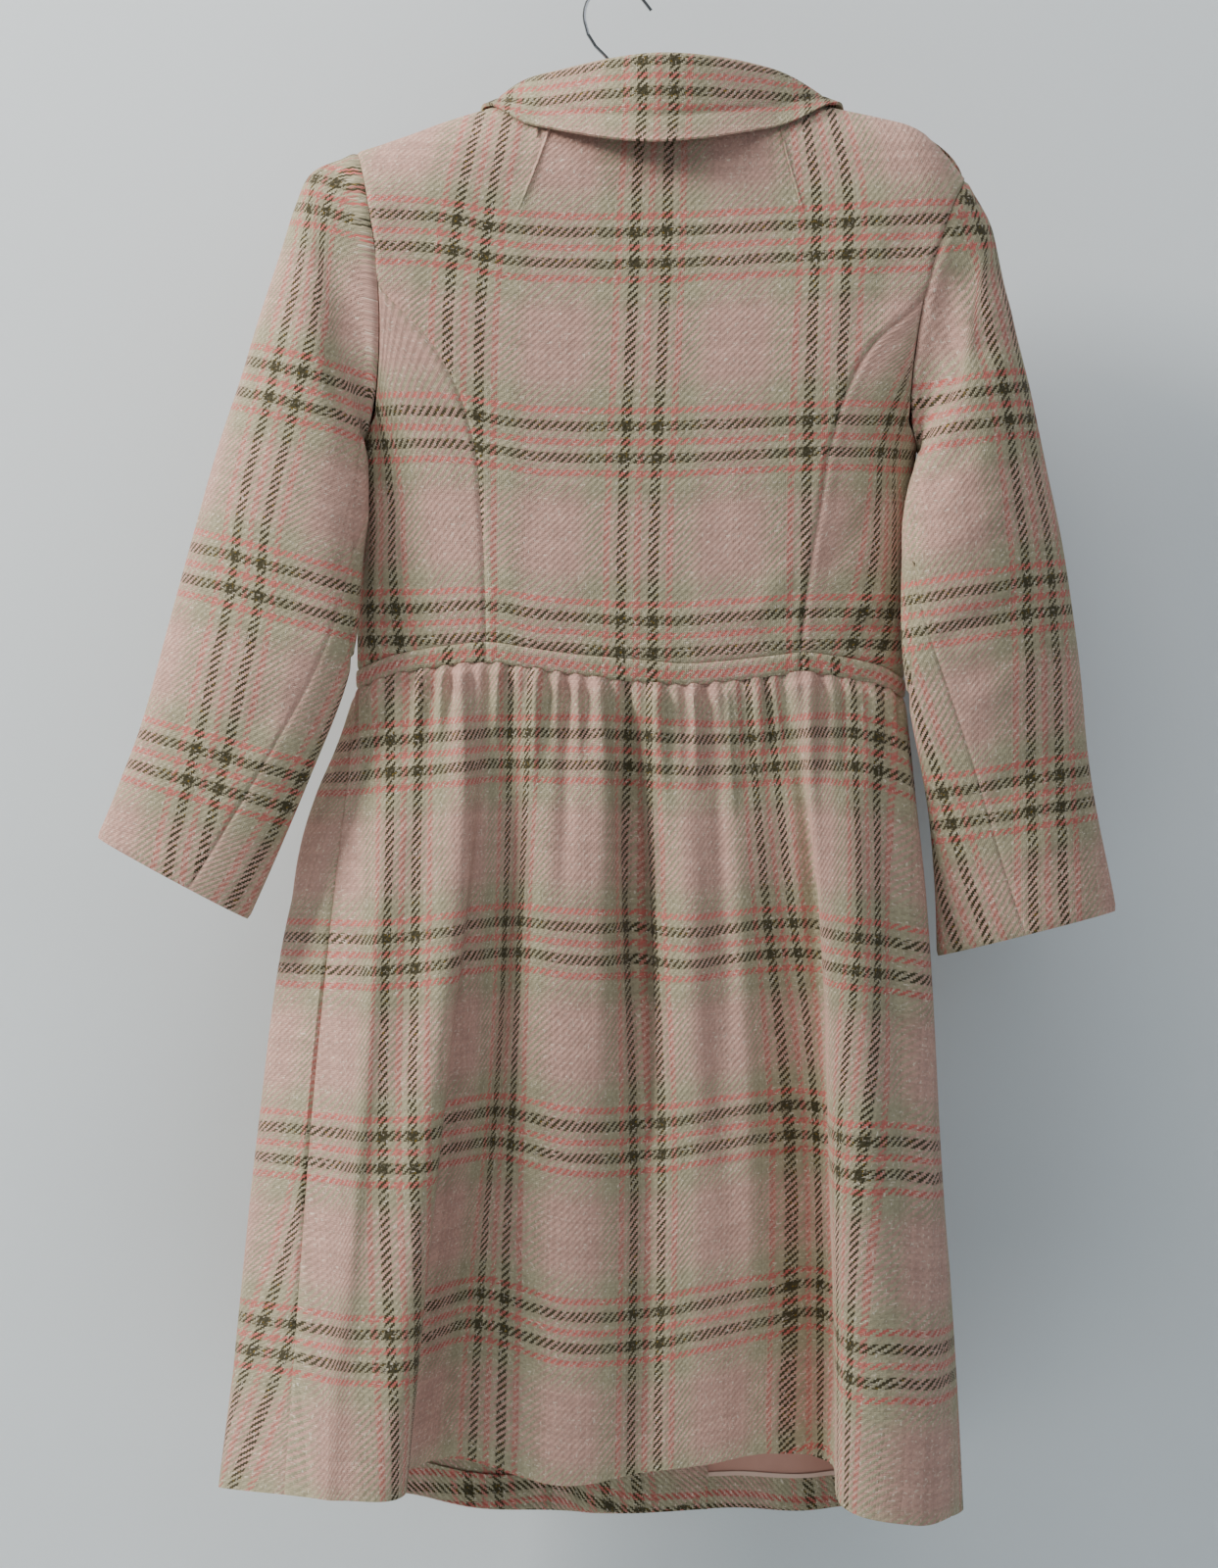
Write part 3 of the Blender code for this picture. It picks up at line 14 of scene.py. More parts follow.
import bpy
import numpy as np
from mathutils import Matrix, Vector

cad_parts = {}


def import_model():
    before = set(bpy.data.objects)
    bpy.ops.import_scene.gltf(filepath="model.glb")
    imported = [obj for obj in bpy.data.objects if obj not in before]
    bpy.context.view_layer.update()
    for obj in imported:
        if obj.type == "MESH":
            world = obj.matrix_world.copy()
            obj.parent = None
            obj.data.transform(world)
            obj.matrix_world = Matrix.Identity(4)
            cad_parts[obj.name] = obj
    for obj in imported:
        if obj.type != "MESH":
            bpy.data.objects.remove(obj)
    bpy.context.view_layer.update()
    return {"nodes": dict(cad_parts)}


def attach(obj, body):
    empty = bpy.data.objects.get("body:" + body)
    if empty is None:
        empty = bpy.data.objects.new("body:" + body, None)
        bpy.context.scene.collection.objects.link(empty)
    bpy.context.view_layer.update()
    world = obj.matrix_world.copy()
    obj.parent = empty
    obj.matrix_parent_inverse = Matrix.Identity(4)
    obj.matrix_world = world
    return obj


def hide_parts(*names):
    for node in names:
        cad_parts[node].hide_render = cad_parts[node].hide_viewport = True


logging.basicConfig(level=logging.INFO, format="%(message)s")
log = logging.getLogger("coat")
frame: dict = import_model()

Array = np.ndarray


class Side(StrEnum):
    """The wearer's sides of the coat, and its back."""

    LEFT = "left"
    RIGHT = "right"
    BACK = "back"


class Held(StrEnum):
    """How a sheet is held in its shape."""

    HUNG = "hung"
    GATHERED = "gathered"
    FOLDED = "folded"


class Slot(StrEnum):
    """Names of the material slots."""

    TWEED = "tweed"
    SATIN = "satin"
    BUTTON = "button"
    WOOD = "wood"
    WIRE = "wire"


METRES = 0.001
SHARP_ANGLE = 60.0
SLOPE_STEP = 0.5
PLACE_STEP = 0.4
SHARE_STEP = 0.0008
NECK_ROUNDNESS = 0.6
ARMHOLE_HALF_DEPTH = 40.0
CENTRE_MARGIN = 2.0
CLOTH = 1.6
SKIRT_CLOTH = 1.4
COLLAR_CLOTH = 2.2
SLEEVE_CLOTH = 1.1
LAYER_GAP = 0.8
LAP_START = 45.0
LAP_FULL = 14.0
SHOULDER_ROLL = 60.0
RIDGE_MARGIN = 0.3


def table_of(kind: type, *values: tuple) -> tuple:
    """A table whose rows are of the kind given."""
    return tuple(kind(*row) for row in values)


# The torso's level sections are flattened rounds, wider and squarer towards the shoulders.
Torso = namedtuple("Torso", "height centre half_width back_depth front_depth squareness")
TORSO = table_of(
    Torso,
    (-490, -10.5, 186, 42, 47, 2.3), (-440, -10.5, 186, 43, 50, 2.3), (-400, -12.0, 186, 43, 54, 2.4),
    (-360, -14.0, 187, 43, 58, 2.6), (-315, -17.0, 188, 43, 60, 3.0), (-270, -20.0, 190, 43, 58, 4.5),
    (-220, -23.5, 196, 42, 53, 6.0), (-170, -27.0, 206, 40, 47, 7.0), (-120, -30.0, 216, 38, 42, 8.0),
    (-60, -30.0, 220, 36, 38, 8.0),
)
# The ridge where the coat lies over the hanger, from the right shoulder tip to the left one.
Ridge = namedtuple("Ridge", "x height")
RIDGE = table_of(
    Ridge,
    (-238, -132.5), (-226, -117), (-213, -103.5), (-201, -96), (-186, -92), (-149, -84), (-115, -76.5),
    (-75, -70), (-30, -67), (15, -69), (55, -75), (85, -84), (119, -94.5), (152, -106.5), (176, -114),
)
# Armholes: the back half runs from the shoulder tip to where the princess seam starts, and on to the
# underarm, and the front half from the underarm back up to the shoulder tip.
Spot = namedtuple("Spot", "x height")
ARMHOLE_BACK_UPPER = {
    Side.LEFT: table_of(
        Spot,
        (176, -114), (174, -120), (170, -136), (166, -158), (162, -182), (160, -207),
    ),
    Side.RIGHT: table_of(
        Spot,
        (-238, -132.5), (-235, -140), (-229, -152), (-221, -173), (-214, -194), (-208, -217),
    ),
}
ARMHOLE_BACK_LOWER = {
    Side.LEFT: table_of(
        Spot,
        (160, -207), (159, -232), (159.5, -256), (161.5, -280), (165, -299), (171, -311),
    ),
    Side.RIGHT: table_of(
        Spot,
        (-208, -217), (-204, -240), (-201, -263), (-199.5, -285), (-200.5, -303), (-205, -316),
    ),
}
ARMHOLE_FRONT = {
    Side.LEFT: table_of(
        Spot,
        (171, -311), (170.4, -307.5), (168.6, -304), (164, -300), (156.5, -283), (152, -258),
        (151, -230), (154, -198), (161, -162), (169, -135), (174, -120), (176, -114),
    ),
    Side.RIGHT: table_of(
        Spot,
        (-205, -316), (-204.4, -312.5), (-202.8, -309), (-199.2, -305.5), (-194.5, -290), (-192, -262),
        (-195, -236), (-202, -207), (-213, -176), (-227, -151), (-235, -139.5), (-238, -132.5),
    ),
}
# Princess seams, from the waist up to the armhole.
PRINCESS = {
    Side.LEFT: table_of(
        Spot,
        (87, -449.5), (88, -413), (89.5, -377), (92, -340), (98, -304), (109, -273), (130, -240),
        (160, -207),
    ),
    Side.RIGHT: table_of(
        Spot,
        (-124.7, -456), (-128, -420), (-133, -385), (-139, -350), (-145, -315), (-155, -281),
        (-175, -247), (-208, -217),
    ),
}
# Necklines, from the shoulder to the centre.
NECK_SHOULDER = {Side.LEFT: Spot(55, -75), Side.RIGHT: Spot(-115, -76.5)}
NECK_BACK_CENTRE = Spot(-29, -88)
NECK_FRONT_CENTRE_HEIGHT = -152.0
CENTRE_FRONT_X = -30.0
FRONT_OVERLAP = 30.0
# The waistband's two edges across the back, from the right side to the left one.
Band = namedtuple("Band", "x top bottom")
BAND = table_of(
    Band,
    (-196.5, -473.5, -484.5), (-184, -466.5, -478), (-166, -461.5, -474), (-146, -458, -470.5),
    (-125, -456, -468), (-113, -457.5, -469.8), (-80, -461.5, -474), (-47, -464, -476.5),
    (-10, -461, -474.5), (31, -457.5, -469.5), (58, -453.5, -465.5), (87, -449.5, -461.5),
    (104, -450.7, -462.7), (130, -454, -466), (151, -458, -469.5), (175.5, -467, -478.5),
)
BAND_FRONT_DROP = 16.0
BAND_GUESS_HEIGHT = -470.0
# The skirt's folds, once round from the left side seam over the back and then the front. Each row is a
# line that runs down the cloth: where it starts at the waist, where it lies a quarter and about half
# way down and at the hem, and how high its hem hangs.
Fold = namedtuple("Fold", "name waist_x high_x low_x hem_x high_y low_y hem_y hem_height")
BACK_FOLDS = table_of(
    Fold,
    ("left seam", 175, 190, 205, 222, 25, 38, 48, -1019),
    ("left panel", 134, 146, 158, 180, 48, 62, 74, -1018),
    ("left crest", 97, 101, 118, 141, 53, 64, 66, -1016),
    ("left tuck", 80, 89, 107, 136, 40, 34, 22, -1007),
    ("left hollow", 56, 62, 74, 106, 40, 35, 22, -1000),
    ("centre swell", 25, 25, 28, 38, 48, 49, 44, -1014),
    ("centre valley", -7, -13, -18, -18, 30, 37, 36, -1007),
    ("right swell", -41, -47, -54, -60, 47, 43, 34, -1002),
    ("right hollow", -86, -93, -100, -107, 40, 33, 25, -996),
    ("right tuck", -117, -128, -137, -144, 40, 30, 16, -1005),
    ("right crest", -134, -138, -145, -150, 51, 61, 63, -1023),
    ("right panel", -166, -178, -187, -196, 44, 58, 70, -1035),
    ("right seam", -196, -211, -217, -226, 19, 28, 36, -1036),
)
FRONT_FOLDS = table_of(
    Fold,
    ("right side", -190, -212, -223, -237, -4, 0, 4, -1037),
    ("right side front", -166, -190, -203, -220, -36, -40, -44, -1040),
    ("right outer swell", -136, -156, -167, -180, -52, -60, -68, -1046),
    ("right front hollow", -102, -116, -123, -132, -50, -50, -54, -1050),
    ("right inner swell", -66, -75, -79, -84, -56, -67, -80, -1053),
    ("centre front", -25, -24, -16, -10, -53, -60, -70, -1055),
    ("left inner swell", 18, 26, 34, 44, -56, -68, -82, -1055),
    ("left front hollow", 56, 72, 82, 97, -50, -52, -58, -1049),
    ("left outer swell", 92, 117, 130, 150, -54, -64, -76, -1041),
    ("left side front", 130, 158, 173, 198, -44, -50, -56, -1032),
    ("left side", 158, 196, 213, 241, -24, -26, -26, -1026),
    ("left edge", 172, 217, 240, 269, 0, 3, 8, -1022),
)
FOLD_LEVELS = (0.0, 0.25, 0.55, 1.0)
BACK_GATHERS = 30
FRONT_GATHERS = 16
GATHER_HEIGHT = 1.9
GATHER_UNEVENNESS = 0.35
GATHER_BEATS = (23.0, 61.0)
GATHER_FLAT_AT_EDGE = 40.0
# How strongly the gathers stand at their rows, by how far below the waistband each row lies.
GatherRow = namedtuple("GatherRow", "drop strength")
GATHER_ROWS = table_of(
    GatherRow,
    (0.0, 0.55), (10.0, 1.0), (34.0, 0.55),
)
FIRST_PLAIN_ROW = 0.13
SIDE_PUFF = 13.0
PUFF_WIDTH = 80.0
PUFF_END = 0.26
# Sleeves: each row is one section, by its outer and inner edge as the back shows them, and half its depth.
Section = namedtuple("Section", "outer_x outer_z outer_y inner_x inner_z inner_y half_depth")
SLEEVE = {
    Side.LEFT: table_of(
        Section,
        (207, -129, 4, 179, -322, 1, 36), (217, -150, 5, 176, -334, 6, 35),
        (228, -184, 6, 172, -348, 14, 34), (240, -222, 7, 169, -365, 22, 33),
        (254, -268, 8, 170, -389, 29, 32), (268, -310, 9, 171, -412, 34, 30),
        (283, -364, 10, 173, -440, 38, 28), (303, -437, 12, 182, -482, 38, 26),
        (321, -504, 14, 207, -544, 36, 24), (335, -541, 15, 227, -590, 33, 23),
        (351, -580, 16, 247, -635, 30, 22),
    ),
    Side.RIGHT: table_of(
        Section,
        (-246, -145, 3, -214, -327, 1, 36), (-255, -163, 4, -211, -339, 6, 35),
        (-262, -192, 5, -204, -351, 14, 34), (-271, -235, 6, -197, -369, 22, 33),
        (-282, -280, 7, -194, -394, 29, 32), (-293, -330, 7, -192.5, -424, 34, 30),
        (-303, -380, 8, -193, -454, 36, 28), (-313, -445, 8, -198, -490, 30, 26),
        (-321, -520, 7, -212, -560, 14, 24), (-330, -575, 6, -217, -612, 6, 23),
        (-341, -630, 5, -219, -661, 2, 22),
    ),
}
# Where the seams between the top and the under sleeve run, in degrees round a section from its outer
# edge over the back, at the armhole and at the cuff.
BACK_SEAM_AT_CUFF = {Side.LEFT: 107.0, Side.RIGHT: 92.0}
FRONT_SEAM_AT_CUFF = 222.0
BACK_SEAM_SAMPLE = 10
FRONT_SEAM_SAMPLE = 14
UNDERARM_PUSH = (-275.0, -293.0)
UNDERARM_GAP = 2.2
ARMHOLE_FADE_ROW = 2
ARMHOLE_FADE_POWER = 1.0
FRONT_FULLNESS = 26.0
FRONT_FULLNESS_END = 0.45
CORNER_FULLNESS = 15.0
CORNER_AT = 150.0
CORNER_REACH = 50.0
CORNER_END = 0.34
# Collar: the roll line and the outer edge, once round from the left end over the back to the right end.
Collar = namedtuple("Collar", "share roll_x roll_y roll_z edge_x edge_y edge_z")
COLLAR = table_of(
    Collar,
    (0.0, -22, -59, -140, -14, -70, -196), (0.115, 29, -51, -115, 53, -65, -170),
    (0.19, 56, -38, -90, 80, -47, -126), (0.27, 63, -1, -69, 88, -7, -82),
    (0.385, 32, 26, -61, 56, 32, -99), (0.5, -28, 43, -54, -26, 54, -115),
    (0.61, -88, 27, -57, -113, 31, -99), (0.73, -122, -1, -68.5, -152, -7, -81),
    (0.81, -117, -38, -91, -142, -47, -126), (0.885, -90, -51, -116, -113, -65, -170),
    (1.0, -38, -59, -140, -46, -70, -196),
)
COLLAR_LIP = 3.0
COLLAR_SEAT = 0.9
COLLAR_REST = 2.0
STAND_REST = 1.2
ROLL_STIFFNESS = 13.0
# Panel subdivisions. Seams that two pieces share have the same number on both.
SIDE_ROWS = 7
ARMHOLE_UPPER_ROWS = 5
ARMHOLE_LOWER_ROWS = 5
SHOULDER_COLUMNS = 4
BACK_NECK_COLUMNS = 12
FRONT_NECK_COLUMNS = 9
NECKLINE_SAMPLES = 121
SIDE_COLUMNS = 5
SKIRT_LENGTH = 555.0


def smooth(at: Array | float, knots: Array, values: Array) -> Array:
    """Values at the given places on a curve through the knots, with slopes from each knot's neighbours.

    Args:
        at: Places at which values are wanted.
        knots: Places of the known values, in order.
        values: Known values, one for each knot.

    Returns:
        The values described, without a unit.
    """
    at = np.asarray(at, float)
    knots = np.asarray(knots, float)
    values = np.asarray(values, float)
    steps = np.diff(knots)
    rise = np.diff(values, axis=0) / steps.reshape(-1, *([1] * (values.ndim - 1)))
    slopes = np.concatenate([rise[:1], (rise[1:] + rise[:-1]) / 2, rise[-1:]])
    flat = np.clip(at, knots[0], knots[-1]).ravel()
    index = np.clip(np.searchsorted(knots, flat, side=Side.RIGHT) - 1, 0, len(steps) - 1)
    wide = [-1] + [1] * (values.ndim - 1)
    step = steps[index].reshape(wide)
    part = ((flat - knots[index]) / steps[index]).reshape(wide)
    start = (1 + 2 * part) * (1 - part) ** 2
    leave = part * (1 - part) ** 2 * step
    end = part**2 * (3 - 2 * part)
    arrive = part**2 * (part - 1) * step
    found = start * values[index] + leave * slopes[index]
    found = found + end * values[index + 1] + arrive * slopes[index + 1]
    return found.reshape(at.shape + values.shape[1:])


def column(rows: tuple, name: str) -> Array:
    """One named column of a table, as an array."""
    return np.array([getattr(row, name) for row in rows], float)


def table_at(at: Array | float, rows: tuple, key: str, names: tuple) -> list[Array]:
    """The named columns of a table, smoothed over the column that orders it."""
    return [smooth(at, column(rows, key), column(rows, name)) for name in names]


def unit(vectors: Array) -> Array:
    """Vectors of length one."""
    return vectors / np.maximum(np.linalg.norm(vectors, axis=-1, keepdims=True), 1e-9)


def ridge_height(x: Array | float) -> Array:
    """Height of the shoulder ridge above a place across the coat."""
    return smooth(x, column(RIDGE, "x"), column(RIDGE, "height"))


def roll_squared(x: Array | float, z: Array | float) -> Array:
    """How far the cloth has rolled over the ridge, squared: 0 on the ridge, 1 below the roll."""
    depth = np.clip((ridge_height(x) - z) / SHOULDER_ROLL, 0, 1)
    return 2 * depth - depth**2


def torso_section(z: Array | float) -> list[Array]:
    """Centre, half width, back depth, front depth and squareness of the section at a height."""
    return table_at(z, TORSO, "height", Torso._fields[1:])


def torso_point(angle: Array | float, z: Array | float) -> Array:
    """The point of the torso's surface in a direction round it (0 at the centre back, 90 degrees left).

    Args:
        angle: Direction round the torso in radians.
        z: Heights.

    Returns:
        The values or points described, in millimetres.
    """
    angle, z = np.broadcast_arrays(np.asarray(angle, float), np.asarray(z, float))
    centre, half, back, front, power = torso_section(z)
    sine, cosine = np.sin(angle), np.cos(angle)
    reach = (np.abs(sine) ** power + np.abs(cosine) ** power) ** (-1 / power)
    x = centre + half * reach * sine
    depth = np.where(cosine > 0, back, front)
    y = reach * cosine * depth * np.sqrt(roll_squared(x, z))
    return np.stack([x, y, z], axis=-1)


def torso_angle(x: Array | float, z: Array | float, face: Side) -> Array:
    """The direction round the torso of a place seen from the back ('back') or on a front panel.

    Args:
        x: Places across the coat.
        z: Heights.
        face: The back, or the front panel of a side.

    Returns:
        The values or points described, in millimetres.
    """
    centre, half, _, _, power = torso_section(z)
    across = np.clip((x - centre) / half, -1, 1)
    inward = np.clip(1 - np.abs(across) ** power, 0, 1) ** (1 / power)
    angle = np.arctan2(across, inward)
    if face == Side.BACK:
        return angle
    return math.copysign(math.pi, 1 if face == Side.LEFT else -1) - angle


def torso_normal(points: Array) -> Array:
    """Outward normals of the torso's surface, from the slope of its section's formula.

    Args:
        points: Grid or line of points.

    Returns:
        The values described, without a unit.
    """
    x, y, z = points[..., 0], points[..., 1], points[..., 2]
    step = SLOPE_STEP
    centre, half, back, front, power = torso_section(z)
    above, below = torso_section(z + step), torso_section(z - step)
    depth = np.where(y >= 0, back, front)
    side = 1 if y.mean() >= 0 else -1
    depth_slope = np.where(y >= 0, above[2] - below[2], above[3] - below[3]) / (2 * step)
    across = np.clip((x - centre) / half, -1, 1)
    inward = np.clip(1 - np.abs(across) ** power, 0, 1) ** (1 / power)
    half_slope = (above[1] - below[1]) / (2 * step)
    centre_slope = (above[0] - below[0]) / (2 * step)
    rolled = roll_squared(x, z)
    share = np.clip((ridge_height(x) - z) / SHOULDER_ROLL, 0, 1)
    ridge_slope = (ridge_height(x + step) - ridge_height(x - step)) / (2 * step)
    steep = power * np.abs(across) ** (power - 1) * np.sign(across)
    deep = power * inward**power
    rolled_z = -(2 - 2 * share) / SHOULDER_ROLL
    sign = np.where(np.abs(y) > 1e-6, np.sign(y), side)
    normal_x = rolled * steep / half + deep * rolled_z * ridge_slope / 2
    normal_y = power * inward ** (power - 1) * np.sqrt(rolled) / depth * sign
    normal_z = -rolled * steep * (centre_slope + across * half_slope) / half
    normal_z = normal_z - deep * (rolled * depth_slope / depth + rolled_z / 2)
    return unit(np.stack([normal_x, normal_y, normal_z], axis=-1))


def lie_outside(points: Array, gap: float) -> Array:
    """How far to move points so that they lie at least a gap outside the torso's surface.

    The nearest place is taken at the same height on the same face, or on the ridge for higher points.

    Args:
        points: Grid or line of points.
        gap: Least distance.

    Returns:
        The values or points described, in millimetres.
    """
    x, y, z = points[..., 0], points[..., 1], points[..., 2]
    height = np.minimum(z, ridge_height(x) - RIDGE_MARGIN)
    back = torso_point(torso_angle(x, height, Side.BACK), height)
    front = torso_point(torso_angle(x, height, Side.LEFT), height)
    nearest = np.where((y >= 0)[..., None], back, front)
    normals = np.where((y >= 0)[..., None], torso_normal(back), torso_normal(front))
    distance = np.sum((points - nearest) * normals, axis=-1)
    return normals * np.clip(gap - distance, 0, None)[..., None]


def band_heights(angle: Array | float) -> list[Array]:
    """Heights of the waistband's top and bottom edge in a direction round the torso.

    Args:
        angle: Direction round the torso in radians.

    Returns:
        One array for each of the values named.
    """
    angle = np.asarray(angle, float)
    edges = []
    for name in ("top", "bottom"):
        z = np.full(angle.shape, BAND_GUESS_HEIGHT)
        for _ in range(3):
            x = torso_point(angle, z)[..., 0]
            z = smooth(x, column(BAND, "x"), column(BAND, name))
        forward = np.clip(-np.cos(angle), 0, 1)
        left, right = getattr(BAND[-1], name), getattr(BAND[0], name)
        level = left + (right - left) * (1 - np.sin(angle)) / 2
        front = level - BAND_FRONT_DROP * forward**2
        edges.append(np.where(np.cos(angle) > 0, z, front))
    return edges


def even_line(x: Array | float, z: Array | float, face: Side, count: int) -> Array:
    """The (angle, height) pairs of a finely drawn line on the torso, at even stretches along it.

    Args:
        x: Places across the coat.
        z: Heights.
        face: The back, or the front panel of a side.
        count: Number of stretches or points.

    Returns:
        The values or points described, in millimetres.
    """
    line = np.stack([torso_angle(x, z, face), z], axis=-1)
    points = torso_point(line[:, 0], line[:, 1])
    places = np.concatenate([[0], np.cumsum(np.linalg.norm(np.diff(points, axis=0), axis=1))])
    even = np.linspace(0, places[-1], count + 1)
    return np.stack([np.interp(even, places, line[:, 0]), np.interp(even, places, line[:, 1])], axis=-1)


def seam(spots: tuple, face: Side) -> Array:
    """The (angle, height) pairs of a seam given by its places on one face of the torso."""
    x, z = column(spots, "x"), column(spots, "height")
    return np.stack([torso_angle(x, z, face), z], axis=-1)


def shares(line: Array) -> Array:
    """How far along a line each of its points lies, from 0 to 1.

    Args:
        line: Angle and height pairs.

    Returns:
        The values described, without a unit.
    """
    points = torso_point(line[:, 0], line[:, 1])
    places = np.concatenate([[0], np.cumsum(np.linalg.norm(np.diff(points, axis=0), axis=1))])
    return places / places[-1]


def fill_between(bottom: Array, top: Array, start: Array, end: Array) -> Array:
    """A grid of (angle, height) pairs blended between four seams that meet at their ends.

    Each inner point is the sum of its blends across and up, less the blend of the four corners.

    Args:
        bottom: Lower seam.
        top: Upper seam.
        start: First seam or point.
        end: Last seam or point.

    Returns:
        The values or points described, in millimetres.
    """
    across = ((shares(bottom) + shares(top)) / 2)[None, :, None]
    up = ((shares(start) + shares(end)) / 2)[:, None, None]
    sideways = (1 - across) * start[:, None] + across * end[:, None]
    upward = (1 - up) * bottom[None] + up * top[None]
    lower = (1 - across) * start[0] + across * end[0]
    upper = (1 - across) * start[-1] + across * end[-1]
    return sideways + upward - (1 - up) * lower - up * upper


def inset_edges(points: Array, inset: float) -> Array:
    """The grid with its outermost points drawn a little towards their neighbours, to leave a seam's gap.

    Args:
        points: Grid or line of points.
        inset: How far the edges move in.

    Returns:
        The values or points described, in millimetres.
    """
    points = points.copy()
    inside = points.copy()
    points[0] += inset * unit(inside[1] - inside[0])
    points[-1] += inset * unit(inside[-2] - inside[-1])
    points[:, 0] += inset * unit(inside[:, 1] - inside[:, 0])
    points[:, -1] += inset * unit(inside[:, -2] - inside[:, -1])
    return points


def edge_of_band(first: float, last: float, count: int, which: int) -> Array:
    """The waistband's top (0) or bottom (1) edge between two directions, as (angle, height) pairs."""
    angle = np.linspace(first, last, count + 1)
    return np.stack([angle, band_heights(angle)[which]], axis=-1)


def shoulder_line(side: Side, count: int, face: Side) -> Array:
    """The ridge from the shoulder tip to the neck, as (angle, height) pairs.

    Args:
        side: The wearer's side.
        count: Number of stretches or points.
        face: The back, or the front panel of a side.

    Returns:
        The values or points described, in millimetres.
    """
    tip = ARMHOLE_BACK_UPPER[side][0].x
    x = np.linspace(tip, NECK_SHOULDER[side].x, count + 1)
    z = ridge_height(x)
    return np.stack([torso_angle(x, z, face), z], axis=-1)


def back_neckline() -> Array:
    """The back neckline from the left shoulder to the right one: a shallow, flat-bottomed curve.

    Returns:
        The values or points described, in millimetres.
    """
    left, right = NECK_SHOULDER[Side.LEFT], NECK_SHOULDER[Side.RIGHT]
    share = np.linspace(-1, 1, NECKLINE_SAMPLES)
    middle, half = (left.x + right.x) / 2, (right.x - left.x) / 2
    x = middle + half * np.sin(share * math.pi / 2)
    ends = left.height + (right.height - left.height) * (share + 1) / 2
    sag = NECK_BACK_CENTRE.height - (left.height + right.height) / 2
    z = ends + sag * np.cos(share * math.pi / 2) ** NECK_ROUNDNESS
    z[0], z[-1] = ridge_height(left.x), ridge_height(right.x)
    return even_line(x, z, Side.BACK, BACK_NECK_COLUMNS)


def front_edge_x(side: Side) -> float:
    """Where a front's free edge lies: each front runs past the centre under or over the other."""
    past = FRONT_OVERLAP if side == Side.RIGHT else -FRONT_OVERLAP
    return CENTRE_FRONT_X + past


def front_neckline(side: Side) -> Array:
    """The front neckline from the shoulder down to the free edge: a quarter round and a flat stretch.

    Args:
        side: The wearer's side.

    Returns:
        The values or points described, in millimetres.
    """
    start = NECK_SHOULDER[side]
    share = np.linspace(0, 1, NECKLINE_SAMPLES)
    end_x = float(front_edge_x(side))
    x = start.x + (end_x - start.x) * (1 - np.cos(share * math.pi / 2))
    z = start.height + (NECK_FRONT_CENTRE_HEIGHT - start.height) * np.sin(share * math.pi / 2)
    z[0] = ridge_height(start.x)
    return even_line(x, z, side, FRONT_NECK_COLUMNS)


def princess_line(side: Side) -> Array:
    """The princess seam from the waistband up, as (angle, height) pairs.

    Args:
        side: The wearer's side.

    Returns:
        The values or points described, in millimetres.
    """
    line = seam(PRINCESS[side], Side.BACK)
    line[0, 1] = band_heights(line[0, 0])[0]
    return line


def side_line(side: Side) -> Array:
    """The side seam from the waistband up to the underarm.

    Args:
        side: The wearer's side.

    Returns:
        The values or points described, in millimetres.
    """
    turn = math.copysign(math.pi / 2, ARMHOLE_BACK_UPPER[side][0].x)
    bottom = float(band_heights(turn)[0])
    z = np.linspace(bottom, ARMHOLE_BACK_LOWER[side][-1].height, SIDE_ROWS + 1)
    return np.stack([np.full(z.shape, turn), z], axis=-1)


def back_lower_armhole(side: Side) -> Array:
    """The armhole from the princess seam down to the underarm.

    Args:
        side: The wearer's side.

    Returns:
        The values or points described, in millimetres.
    """
    line = seam(ARMHOLE_BACK_LOWER[side], Side.BACK)
    line[-1, 0] = math.copysign(math.pi / 2, line[-1, 0])
    return line


def front_armhole(side: Side) -> Array:
    """The armhole from the underarm up the front to the shoulder tip.

    Args:
        side: The wearer's side.

    Returns:
        The values or points described, in millimetres.
    """
    line = seam(ARMHOLE_FRONT[side], side)
    line[0, 0] = math.copysign(math.pi / 2, line[0, 0])
    return line


def back_centre_grid() -> Array:
    """The centre back panel, from the left princess seam and armhole to the right ones.

    Returns:
        The values or points described, in millimetres.
    """
    edges = {}
    for side in (Side.LEFT, Side.RIGHT):
        upper = seam(ARMHOLE_BACK_UPPER[side], Side.BACK)[::-1]
        edges[side] = np.concatenate([princess_line(side), upper[1:]])
    top = np.concatenate(
        [
            shoulder_line(Side.LEFT, SHOULDER_COLUMNS, Side.BACK),
            back_neckline()[1:],
            shoulder_line(Side.RIGHT, SHOULDER_COLUMNS, Side.BACK)[::-1][1:],
        ]
    )
    bottom = edge_of_band(edges[Side.LEFT][0, 0], edges[Side.RIGHT][0, 0], len(top) - 1, 0)
    return fill_between(bottom, top, edges[Side.LEFT], edges[Side.RIGHT])


def back_side_grid(side: Side) -> Array:
    """A side back panel, from the princess seam to the side seam and up to the armhole.

    Args:
        side: The wearer's side.

    Returns:
        The values or points described, in millimetres.
    """
    start, end = princess_line(side), side_line(side)
    bottom = edge_of_band(start[0, 0], end[0, 0], SIDE_COLUMNS, 0)
    return fill_between(bottom, back_lower_armhole(side), start, end)


